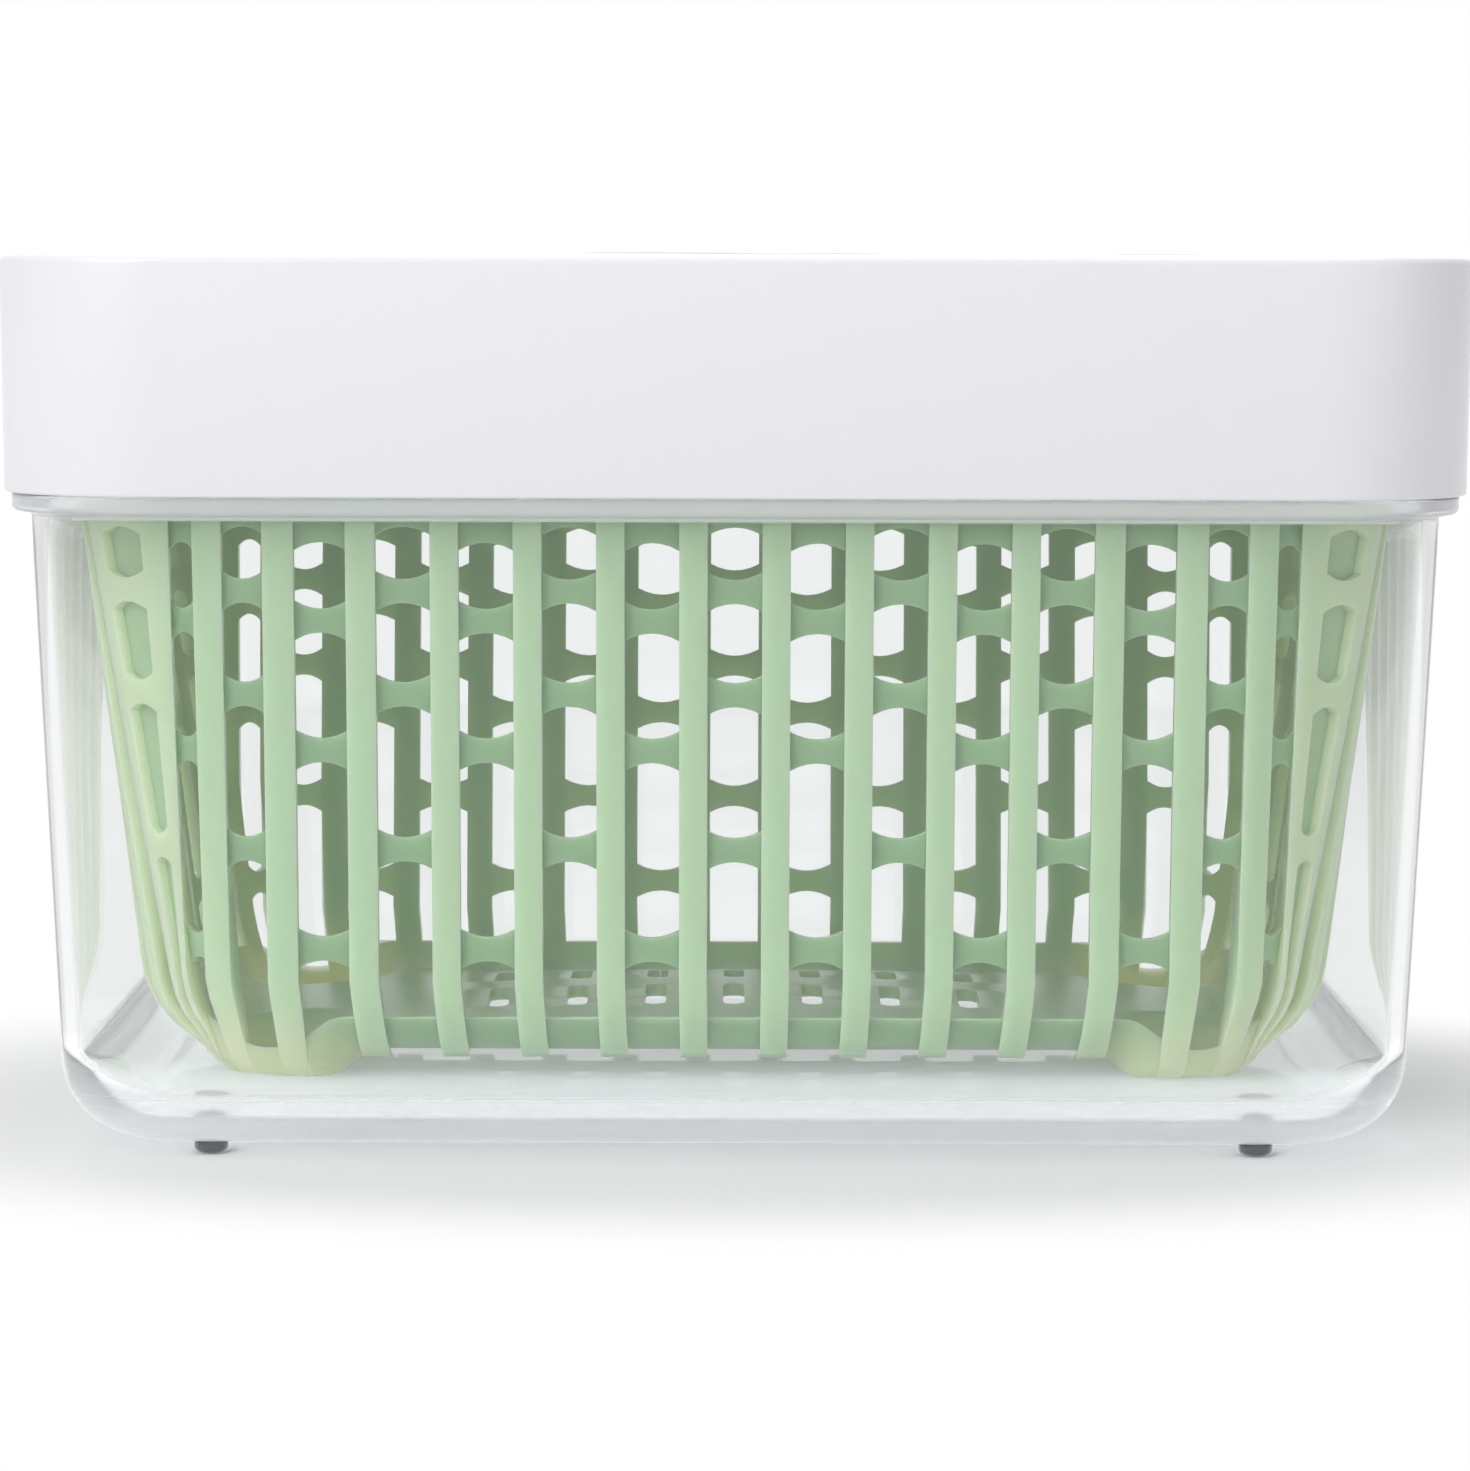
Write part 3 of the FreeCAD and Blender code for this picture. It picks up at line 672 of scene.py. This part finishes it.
pockets = [turned("pocket", [(VENT["pocket"], VENT["floor"]), (VENT["pocket"], ABOVE)], sides=96),
           turned("pocket", [(VENT["bore"], 112.0), (VENT["bore"], 115.0)], sides=32),
           turned("pocket", [(DIAL["recess"], DIAL["floor"]), (DIAL["recess"], ABOVE)], x=DIAL["x"]),
           turned("pocket", [(DIAL["bore"], 115.0), (DIAL["bore"], 118.5)], x=DIAL["x"], sides=32),
           wedge("pocket", **STOP_GROOVE)]
pockets += [wedge("window", middle=90.0 * i, **WINDOW) for i in range(4)]
cut(lid, pockets)
rounded(lid, 0.35, steps=3, angle=50)
print("lid:", len(lid.data.polygons), "faces")


# %% [markdown]
# ## Small pieces from the frame
# The vent disc, its clip, the filter housing and its door, and the date dial already have the right shape
# in the frame, only with edges as sharp as a knife. A copy of each mesh is cleaned, its flat triangles are
# merged into whole faces, and its edges are rounded.
# %% Softened copies
SAME_POINT, SAME_PLANE = 2e-6, math.radians(0.6)


def softened(node, name, width, steps=2):
    """Copy of a frame piece with rounded edges."""
    work = bmesh.new()
    work.from_mesh(nodes[node].data)
    bmesh.ops.remove_doubles(work, verts=work.verts, dist=SAME_POINT)
    bmesh.ops.dissolve_limit(work, angle_limit=SAME_PLANE, verts=work.verts, edges=work.edges)
    piece = finished(name, bpy.data.meshes.new(name), work, SHARP)
    return rounded(piece, width, steps, 38)


vent = softened("vent_dial", "vent_disc", 0.35, 3)
clip = softened("vent_clip", "vent_clip_square", 0.2)
housing = softened("filter_housing", "filter_bay", 0.25)
door = softened("filter_cover", "filter_door_grille", 0.25)
dial = softened("date_dial", "date_disc", 0.3, 3)
for piece in (vent, clip, housing, door, dial):
    print(piece.name, len(piece.data.polygons), "faces")

# %% [markdown]
# ## Feet
# Four soft drops of dark rubber are stuck under the tub. Each is turned from a round profile that swells
# a little above the flat pad it stands on.
# %% Feet
FOOT_PAD, FOOT_SWELL, UNDER_TUB = (1.6, 0.0), 1.05, 0.03
FOOT_INSET = (28.0, 19.0)
FOOT_CORNERS = {"front_left": (-1, -1), "front_right": (1, -1), "back_left": (-1, 1), "back_right": (1, 1)}

foot_profile = [FOOT_PAD] + arc((1.35, FOOT_SWELL), FOOT_SWELL, -75, 10, 6)
foot_profile += [(2.38, 1.5), (2.3, FOOT_HEIGHT - UNDER_TUB)]
feet = {}
for name, (sx, sy) in FOOT_CORNERS.items():
    x, y = sx * (LENGTH / 2 - FOOT_INSET[0]), sy * (DEPTH / 2 - FOOT_INSET[1])
    feet[name] = turned("foot_drop_" + name, foot_profile, x, y, sides=32, sharp=50)
print("feet:", len(feet))

# %% [markdown]
# ## Filter pouch
# The carbon filter is a flat felt pouch, sewn round its edge and filled with granules, so it is fullest in
# the middle and its sides pull in between the corners. Nothing shapes that better than cloth under
# pressure: a flat pad with thin edges is cut into small cells and blown up for twenty steps without
# gravity, and the result is kept as its mesh. How far a point may move is capped.
# %% Filter pouch, blown up
PAD = ((24.6, 20.6, -1.75), (28.1, 24.1, -0.35), (28.1, 24.1, 0.35), (24.6, 20.6, 1.75))
PAD_CORNER, CLOTH_SHARP = 2.2, 80
CELL, PRESSURE, STEPS, CAP = 1.15, 4.0, 20, 2.6


def blown_up(pad):
    """Swells a pad in place by a cloth simulation and applies it."""
    start = [vertex.co.copy() for vertex in pad.data.vertices]
    cloth = pad.modifiers.new("cloth", "CLOTH").settings
    cloth.use_pressure, cloth.uniform_pressure_force = True, PRESSURE
    cloth.effector_weights.gravity = 0
    for step in range(1, STEPS + 1):
        bpy.context.scene.frame_set(step)
    evened(pad, CLOTH_SHARP)
    for vertex, before in zip(pad.data.vertices, start):
        way = vertex.co - before
        vertex.co = before + way * min(1.0, CAP * MM / max(way.length, 1e-9))
    bpy.context.scene.frame_set(1)


pillow = loft("filter_pouch", [ring(half_x, half_y, PAD_CORNER, z) for half_x, half_y, z in PAD])
remesh = pillow.modifiers.new("cells", "REMESH")
remesh.mode, remesh.voxel_size = "VOXEL", CELL * MM
evened(pillow)
blown_up(pillow)
pillow.modifiers.new("finer", "SUBSURF").levels = 1
evened(pillow, CLOTH_SHARP)
reach = [max(abs(vertex.co[axis]) for vertex in pillow.data.vertices) for axis in (0, 1, 2)]
print("blown up to", [round(2000 * r, 1) for r in reach], "mm")

# %% [markdown]
# The pouch is then fitted to the box that its bay leaves it. The seam is drawn out of its edge here,
# because the cells of the cloth would swallow it, and both faces are flat where the bay holds them.
# %% Filter pouch, fitted
POUCH = {"x": 29.2, "y": 25.2, "low": 100.35, "high": 107.25}
SEAM, SEAM_HALF, SEAM_START, PRESSED = 0.7, 0.45, 0.9, 1.08

middle, half_height = (POUCH["low"] + POUCH["high"]) / 2, (POUCH["high"] - POUCH["low"]) / 2
for vertex in pillow.data.vertices:
    seam = max(0.0, 1 - abs(vertex.co.z) / (SEAM_HALF * MM)) * SEAM * MM
    for axis, limit in ((0, POUCH["x"]), (1, POUCH["y"])):
        share = abs(vertex.co[axis]) / reach[axis]
        vertex.co[axis] *= (limit - SEAM) * MM / reach[axis]
        if share > SEAM_START:
            vertex.co[axis] += math.copysign(seam, vertex.co[axis])
    rise = vertex.co.z * PRESSED * half_height / reach[2]
    vertex.co.z = (middle + max(-half_height, min(half_height, rise))) * MM
print("pouch:", len(pillow.data.polygons), "faces")


# %% [markdown]
# ## Shader maths as Python
# A node tree is easier to read as a sum than as a drawing. `Signal` wraps a socket, and its operators add
# the Math nodes, so that `0.3 + 0.1 * grain` is a roughness.
# %% Signals
class Signal:
    """A socket that can be added, subtracted and multiplied."""

    def __init__(self, finish, socket):
        self.finish, self.socket = finish, socket

    def _math(self, operation, first, second):
        return self.finish.node("ShaderNodeMath", {"operation": operation}, {0: first, 1: second})

    def __add__(self, other):
        return self._math("ADD", self, other)

    def __sub__(self, other):
        return self._math("SUBTRACT", self, other)

    def __rsub__(self, other):
        return self._math("SUBTRACT", other, self)

    def __mul__(self, other):
        return self._math("MULTIPLY", self, other)

    __radd__, __rmul__ = __add__, __mul__


print("a signal can be added, subtracted and multiplied")


# %% [markdown]
# `Finish` makes a material and any node in it. Colours blend through Mix, since a Math node would turn
# them grey, and every pattern is laid out in the piece's own space, so that it moves with the piece.
# %% Finishes as node trees
class Finish:
    """A node material, or any other node tree."""

    def __init__(self, name, tree=None):
        if tree is None:
            self.material = bpy.data.materials.new(name)
            self.material.use_nodes = True
            tree = self.material.node_tree
        tree.nodes.clear()
        self.tree = tree

    def node(self, kind, settings=None, inputs=None, out=0):
        """Adds a node: settings first, then values or links for its sockets."""
        made = self.tree.nodes.new(kind)
        for key, value in (settings or {}).items():
            setattr(made, key, value)
        for key, value in (inputs or {}).items():
            if isinstance(value, Signal):
                self.tree.links.new(value.socket, made.inputs[key])
            else:
                made.inputs[key].default_value = value
        return Signal(self, made.outputs[out])

    def mix(self, share, first, second):
        """Blend of two colours."""
        return self.node("ShaderNodeMix", {"data_type": "RGBA"}, {0: share, 6: first, 7: second}, out=2)

    def place(self):
        """Where a point of the piece is, in the piece's own space."""
        return self.node("ShaderNodeTexCoord", out="Object")

    def noise(self, scale, detail=2.0, rough=0.5):
        """Cloudy pattern; scale is in patches per metre."""
        return self.node("ShaderNodeTexNoise", None, {"Vector": self.place(), "Scale": scale, "Detail": detail,
                                                      "Roughness": rough}, out="Fac")

    def ramp(self, value, start, end):
        """0 at start, 1 at end and a smooth change between."""
        return self.node("ShaderNodeMapRange", {"interpolation_type": "SMOOTHSTEP"},
                         {"Value": value, "From Min": start, "From Max": end})

    def bump(self, height, strength, distance):
        """Normal from a height."""
        return self.node("ShaderNodeBump", None, {"Height": height, "Strength": strength, "Distance": distance})

    def surface(self, shader, output="ShaderNodeOutputMaterial"):
        """Ends the tree."""
        self.tree.links.new(shader.socket, self.tree.nodes.new(output).inputs["Surface"])


print("shader helpers ready")

# %% [markdown]
# ## Finishes
# Moulded plastic is never one flat number. Its gloss wanders a little where the tool was polished by hand,
# its colour wanders a shade deeper in soft patches, and a fine grain breaks up reflections. Each
# finish below has those three at the scale of its own piece. White and vent plastic have a thin coat for
# the gloss, over a base of roughness 0.33. Much below that, the denoiser of a short render takes the
# base for a mirror and leaves faint rings where its roughness wanders.
# %% Plastic
ROUGH_SPREAD, GRAIN_DEPTH = 0.05, 0.0002


def plastic(name, colour, deep, rough, grain=900.0, **fixed):
    """Moulded plastic between two close colours; fixed names plain values of its shader."""
    finish = Finish(name)
    cloud, fine = finish.noise(8.0, 2.0, 0.4), finish.noise(grain, 2.0)
    finish.surface(finish.node("ShaderNodeBsdfPrincipled", None, {
        "Base Color": finish.mix(cloud, (*colour, 1), (*deep, 1)),
        "Roughness": cloud * ROUGH_SPREAD + (rough - ROUGH_SPREAD / 2),
        "Normal": finish.bump(fine, 0.03, GRAIN_DEPTH), **fixed}))
    return finish.material


gloss = {"Coat Weight": 0.25, "Coat Roughness": 0.12}
wet_gloss = {"Coat Weight": 1.0, "Coat Roughness": 0.05}
white = plastic("white plastic", (0.785, 0.785, 0.812), (0.778, 0.778, 0.805), 0.33, **gloss)
inner_white = plastic("inner white plastic", (0.78, 0.78, 0.79), (0.74, 0.74, 0.755), 0.42)
vent_green = plastic("vent green plastic", (0.38, 0.59, 0.35), (0.34, 0.55, 0.32), 0.33, **gloss)
rubber = plastic("foot rubber", (0.045, 0.055, 0.068), (0.035, 0.043, 0.055), 0.14, grain=1500.0, **wet_gloss)
print("made:", [material.name for material in (white, inner_white, vent_green, rubber)])


# %% [markdown]
# The basket's plastic is milky and a little see-through. Light gathers where it is moulded round a corner,
# and most in the hollow legs, which look like pale jelly, so those get a paler and yellower tone, which is
# painted light. Both are found from the place on the basket: how far out a point lies on its leaning wall,
# and how near the middle of a leg. Truly see-through plastic takes many more samples and comes out darker,
# so subsurface light does the work. The thin bars between the ribs get a deeper green, which is painted
# shade in the recesses. Polished edges are palest of all. They get a finish of their own, a painted
# highlight with a slight glow, which stands in for the light that leaves the plastic there.
# %% Milky plastic
WALL_LEAN, CORNER_GLOW_FROM, CORNER_GLOW_TO = 0.114, 0.0640, 0.0715
LEG_GLOW_PLACE = {"middle": (0.0620, 0.0335, 0), "out": 0.019, "in": 0.010, "top": 0.026, "low": 0.013}


def milky_plastic(name, colour, deep, corner_glow, leg, milk=0.9, painted_glow=0.0):
    """Green plastic with painted light: paler and yellower towards the basket's corners and legs, with a
    painted glow of the given strength.
    """
    finish = Finish(name)
    cloud, fine = finish.noise(22.0, 1.0), finish.noise(600.0, 2.0)
    out = finish.node("ShaderNodeVectorMath", {"operation": "ABSOLUTE"}, {0: finish.place()})
    x, y, z = (finish.node("ShaderNodeSeparateXYZ", None, {0: out}, out=axis) for axis in "XYZ")
    # Painted light: paler towards the corners, where light gathers in the turned plastic.
    corner = finish.ramp(x - WALL_LEAN * z, CORNER_GLOW_FROM, CORNER_GLOW_TO)
    flat_place = finish.node("ShaderNodeCombineXYZ", None, {0: x, 1: y})
    to_leg = finish.node("ShaderNodeVectorMath", {"operation": "DISTANCE"},
                         {0: flat_place, 1: LEG_GLOW_PLACE["middle"]}, out="Value")
    # Painted light: paler and yellower in the hollow legs.
    leg_glow_share = (finish.ramp(to_leg, LEG_GLOW_PLACE["out"], LEG_GLOW_PLACE["in"])
              * finish.ramp(z, LEG_GLOW_PLACE["top"], LEG_GLOW_PLACE["low"]))
    tone = finish.mix(cloud, (*colour, 1), (*deep, 1))
    tone = finish.mix(leg_glow_share, finish.mix(corner, tone, (*corner_glow, 1)), (*leg, 1))
    finish.surface(finish.node("ShaderNodeBsdfPrincipled", None, {
        "Base Color": tone, "Roughness": cloud * 0.06 + 0.28, "Normal": finish.bump(fine, 0.05, GRAIN_DEPTH),
        "Subsurface Weight": milk, "Subsurface Radius": (0.9, 1.0, 0.7), "Subsurface Scale": 0.004,
        "Emission Color": tone, "Emission Strength": painted_glow}))
    return finish.material


green = milky_plastic("basket green plastic", (0.53, 0.70, 0.47), (0.505, 0.68, 0.445),
                      (0.62, 0.75, 0.50), (0.74, 0.80, 0.52))
# Painted shade: the bars sit in recesses between the ribs and get a deeper green.
bar_green_painted_shade = milky_plastic("basket bars with painted shade", (0.32, 0.49, 0.29), (0.30, 0.47, 0.27),
                           (0.42, 0.58, 0.35), (0.62, 0.72, 0.42))
# Painted highlight: the rounded edges are pale and glow a little.
edge_highlight = milky_plastic("painted edge highlight of the basket", (0.86, 0.96, 0.80), (0.84, 0.95, 0.78),
                          (0.88, 0.95, 0.76), (0.90, 0.94, 0.74), milk=0.0, painted_glow=0.28)
print("made:", [material.name for material in (green, bar_green_painted_shade, edge_highlight)])


# %% [markdown]
# Clear plastic is glass to light, only lighter. In the thick floor and the flange of the tub light gathers
# and makes them look hazy, so some milk, a pale diffuse with a faint glow, is mixed in at those heights as
# painted light. Lamps would leave black shadows behind real glass in a path tracer, so rays that look for a
# lamp pass straight through a Transparent shader instead, which is the usual trick.
# %% Clear plastic
FLOOR_GLOW, FLOOR_FROM, FLOOR_TO = 0.5, 0.0095, 0.004
FLANGE_GLOW, FLANGE_FROM, FLANGE_TO = 0.35, 0.0858, 0.0868


def clear_plastic():
    """Glass-like plastic with painted light, a pale glow, in its floor and flange."""
    finish = Finish("clear plastic")
    wave, fine = finish.noise(12.0, 1.0), finish.noise(260.0, 2.0)
    tone = finish.mix(wave, (0.93, 0.94, 0.94, 1), (0.915, 0.93, 0.93, 1))
    glass = finish.node("ShaderNodeBsdfPrincipled", None, {
        "Base Color": tone, "Roughness": fine * 0.02, "IOR": 1.49, "Transmission Weight": 1.0,
        "Normal": finish.bump(wave, 0.05, 0.002)})
    height = finish.node("ShaderNodeSeparateXYZ", None, {0: finish.place()}, out="Z")
    # Painted light: share of a pale glow in the floor and the flange.
    glow_share = (FLOOR_GLOW * finish.ramp(height, FLOOR_FROM, FLOOR_TO)
            + FLANGE_GLOW * finish.ramp(height, FLANGE_FROM, FLANGE_TO))
    # The milk is painted light: a pale diffuse and a faint glow that no lamp gives.
    glow_diffuse = finish.node("ShaderNodeBsdfDiffuse", None, {"Color": (0.86, 0.87, 0.90, 1)})
    glow_emission = finish.node("ShaderNodeEmission", None, {"Color": (0.98, 0.97, 1.0, 1), "Strength": 0.11})
    milk = finish.node("ShaderNodeAddShader", None, {0: glow_diffuse, 1: glow_emission})
    glass_and_glow = finish.node("ShaderNodeMixShader", None, {0: glow_share, 1: glass, 2: milk})
    passing = finish.node("ShaderNodeBsdfTransparent", None, {"Color": (0.93, 0.95, 0.96, 1)})
    lamp_ray = finish.node("ShaderNodeLightPath", out="Is Shadow Ray")
    finish.surface(finish.node("ShaderNodeMixShader", None, {0: lamp_ray, 1: glass_and_glow, 2: passing}))
    return finish.material


clear = clear_plastic()
print("made:", clear.name)


# %% [markdown]
# Felt is dull and dark. Its fibres are too fine to model, so a strong noise bumps the surface, and a
# little sheen catches light at its edge, as loose fibres do.
# %% Felt
def felt():
    """Dark pressed fibre."""
    finish = Finish("felt")
    cloud, fibre = finish.noise(90.0, 4.0, 0.6), finish.noise(1400.0, 5.0, 0.7)
    tone = finish.mix(fibre, (0.030, 0.031, 0.033, 1), (0.075, 0.077, 0.08, 1))
    finish.surface(finish.node("ShaderNodeBsdfPrincipled", None, {
        "Base Color": tone, "Roughness": cloud * 0.1 + 0.85, "Sheen Weight": 0.4, "Sheen Roughness": 0.5,
        "Normal": finish.bump(fibre, 0.6, 0.0004)}))
    return finish.material


cloth = felt()
print("made:", cloth.name)

# %% [markdown]
# ## Dressing the frame
# Each piece takes its finish, stands for its solid of the frame and rides on the body that it moves with.
# %% Dressing
def dress(piece, material, body, slot, *stands_for):
    """Gives a piece its finish, its body and the solids that it replaces."""
    for number, finish in enumerate(material if isinstance(material, tuple) else (material,)):
        if number == len(piece.data.materials):
            piece.data.materials.append(None)
        piece.data.materials[number] = finish
    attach(piece, body)
    if stands_for:
        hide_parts(*stands_for)
    return piece


dress(tub, clear, "tub", "clear_plastic", "container")
for name, foot in feet.items():
    dress(foot, rubber, "tub", "foot_rubber", "foot_" + name)
# The basket's second finish paints shade on its recessed bars, the third a highlight with a glow on its edges.
dress(basket, (green, bar_green_painted_shade, edge_highlight), "inner_basket", "green_plastic", "basket")
dress(lid, white, "lid", "white_plastic", "lid_shell")
dress(vent, vent_green, "vent", "vent_plastic", "vent_dial")
dress(clip, inner_white, "vent", "inner_plastic", "vent_clip")
dress(housing, inner_white, "lid", "inner_plastic", "filter_housing")
dress(door, inner_white, "filter_door", "inner_plastic", "filter_cover")
dress(dial, vent_green, "date", "vent_plastic", "date_dial")
dress(pillow, cloth, "lid", "filter_cloth", "carbon_filter")

# %% [markdown]
# ## Table
# The keeper stands on a white table in front of white. More light would bleach the lid, so the table
# glows instead, a little towards the camera and fully towards rays that come through the tub. Some way
# from the keeper it fades to pure white, so that no horizon shows. Near it, it keeps the soft shadow.
# %% Table
TABLE, PAPER, GLOW, GLOW_SEEN = 3.0, 0.8, 0.55, 0.15
FADE_FROM, FADE_TO, FADE_STRETCH = 0.08, 0.125, (0.7, 1.0, 1.0)
WHITE = (1, 1, 1, 1)

table_corners = [(sx * TABLE / MM, sy * TABLE / MM, 0) for sx, sy in ((-1, -1), (1, -1), (1, 1), (-1, 1))]
table = solid("table", table_corners, [(0, 1, 2, 3)])
table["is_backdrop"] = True


def seen_ray(finish, *kinds):
    """1 for rays of these kinds, 0 for others."""
    rays = [finish.node("ShaderNodeLightPath", out=kind) for kind in kinds]
    return sum(rays[1:], rays[0])


paper = Finish("paper white")
plain = paper.node("ShaderNodeBsdfDiffuse", None, {"Color": (PAPER, PAPER, PAPER, 1)})
glow = paper.node("ShaderNodeEmission", None, {"Color": WHITE, "Strength": GLOW})
glowing = paper.node("ShaderNodeAddShader", None, {0: plain, 1: glow})
seen = GLOW_SEEN * seen_ray(paper, "Is Camera Ray") + seen_ray(paper, "Is Transmission Ray", "Is Glossy Ray")
near_keeper = paper.node("ShaderNodeMixShader", None, {0: seen, 1: plain, 2: glowing})
white_light = paper.node("ShaderNodeEmission", None, {"Color": WHITE, "Strength": 1.0})
stretched = paper.node("ShaderNodeVectorMath", {"operation": "MULTIPLY"}, {0: paper.place(), 1: FADE_STRETCH})
away = paper.node("ShaderNodeVectorMath", {"operation": "LENGTH"}, {0: stretched}, out="Value")
any_view = seen_ray(paper, "Is Camera Ray", "Is Transmission Ray", "Is Glossy Ray")
clear_view = paper.ramp(away, FADE_FROM, FADE_TO) * any_view
paper.surface(paper.node("ShaderNodeMixShader", None, {0: clear_view, 1: near_keeper, 2: white_light}))
table.data.materials.append(paper.material)
print("table:", 2 * TABLE, "m wide")

# %% [markdown]
# ## Light from all round
# The world lights the keeper softly and evenly, and the camera sees it as plain white. Rays through the
# clear tub and reflections see it white ahead and grey to the sides, as in a studio with dark flags,
# because clear plastic in front of even white would have no edges.
# %% World
SKY = 0.525
FLAGS = {"From Min": 0.25, "From Max": 0.9, "To Min": 1.05, "To Max": 0.7}

world = bpy.data.worlds.new("studio")
bpy.context.scene.world = world
world.use_nodes = True
sky = Finish("studio", world.node_tree)
soft = sky.node("ShaderNodeBackground", None, {"Color": (0.97, 0.98, 1.0, 1), "Strength": SKY})
direction = sky.node("ShaderNodeSeparateXYZ", None, {0: sky.node("ShaderNodeTexCoord", out="Generated")})
sideways = sky.node("ShaderNodeMath", {"operation": "ABSOLUTE"}, {0: direction})
dimmed = sky.node("ShaderNodeMapRange", None, {"Value": sideways, **FLAGS})
through = sky.node("ShaderNodeBackground", None, {"Color": WHITE, "Strength": dimmed})
bright = sky.node("ShaderNodeBackground", None, {"Color": WHITE, "Strength": 1.0})
clear_rays = seen_ray(sky, "Is Transmission Ray", "Is Glossy Ray")
around_it = sky.node("ShaderNodeMixShader", None, {0: clear_rays, 1: soft, 2: through})
studio = sky.node("ShaderNodeMixShader", None, {0: seen_ray(sky, "Is Camera Ray"), 1: around_it, 2: bright})
sky.surface(studio, "ShaderNodeOutputWorld")
print("world strength:", SKY)

# %% [markdown]
# ## Lamps
# Large soft lamps from the left and above give the lid its gentle shading, and a weak one from behind
# lights the far wall of the basket. They aren't seen through the tub, where a square of light would show.
# Their strengths stop short of bleaching the top of the lid.
# %% Lamps
AIM = (0, 0, 0.06)
LAMPS = {"key": ((-0.65, -0.95, 0.7), 0.8, 8.0), "fill": ((0.9, -0.8, 0.5), 0.8, 1.0),
         "top": ((0.0, 0.15, 1.1), 1.0, 4.4), "back": ((0.0, 1.0, 0.5), 1.2, 2.0)}


def lamp(name, place, size, watts):
    """Soft square lamp that looks at the keeper."""
    light = bpy.data.lights.new(name, "AREA")
    light.shape, light.size, light.energy = "SQUARE", size, watts
    holder = bpy.data.objects.new(name, light)
    holder.location = place
    holder.rotation_euler = (Vector(AIM) - Vector(place)).to_track_quat("-Z", "Y").to_euler()
    holder.visible_transmission = False
    bpy.context.scene.collection.objects.link(holder)


for name, (place, size, watts) in LAMPS.items():
    lamp(name, place, size, watts)
print("lamps:", len(LAMPS))

# %% [markdown]
# ## Camera
# The camera stands level with the lid, about 80 cm away, and looks a little down. Its place, tilt and
# focal length were fitted together to the outlines of the lid, the tub and the feet.
# %% Camera
LENS, SENSOR, LOOK_DOWN, ROLL = 137.8, 36.0, 5.14, 0.174
CAMERA_PLACE = (0.00005, -0.8, 0.1244)

view = bpy.data.cameras.new("camera")
view.lens, view.sensor_width = LENS, SENSOR
view.clip_start, view.clip_end = 0.05, 20.0
camera = bpy.data.objects.new("camera", view)
camera.matrix_world = (Matrix.Translation(CAMERA_PLACE)
                       @ Matrix.Rotation(math.radians(90 - LOOK_DOWN), 4, "X")
                       @ Matrix.Rotation(math.radians(ROLL), 4, "Z"))
bpy.context.scene.collection.objects.link(camera)
bpy.context.scene.camera = camera
bpy.context.scene.view_settings.view_transform = "Standard"
print("camera:", LENS, "mm lens, looks", LOOK_DOWN, "degrees down")

# %% [markdown]
# ## Last words
# The size of the dressed keeper is printed.
# %% Sizes and finish
low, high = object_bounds()
print("size:", [round(1000 * (b - a), 1) for a, b in zip(low, high)], "mm")
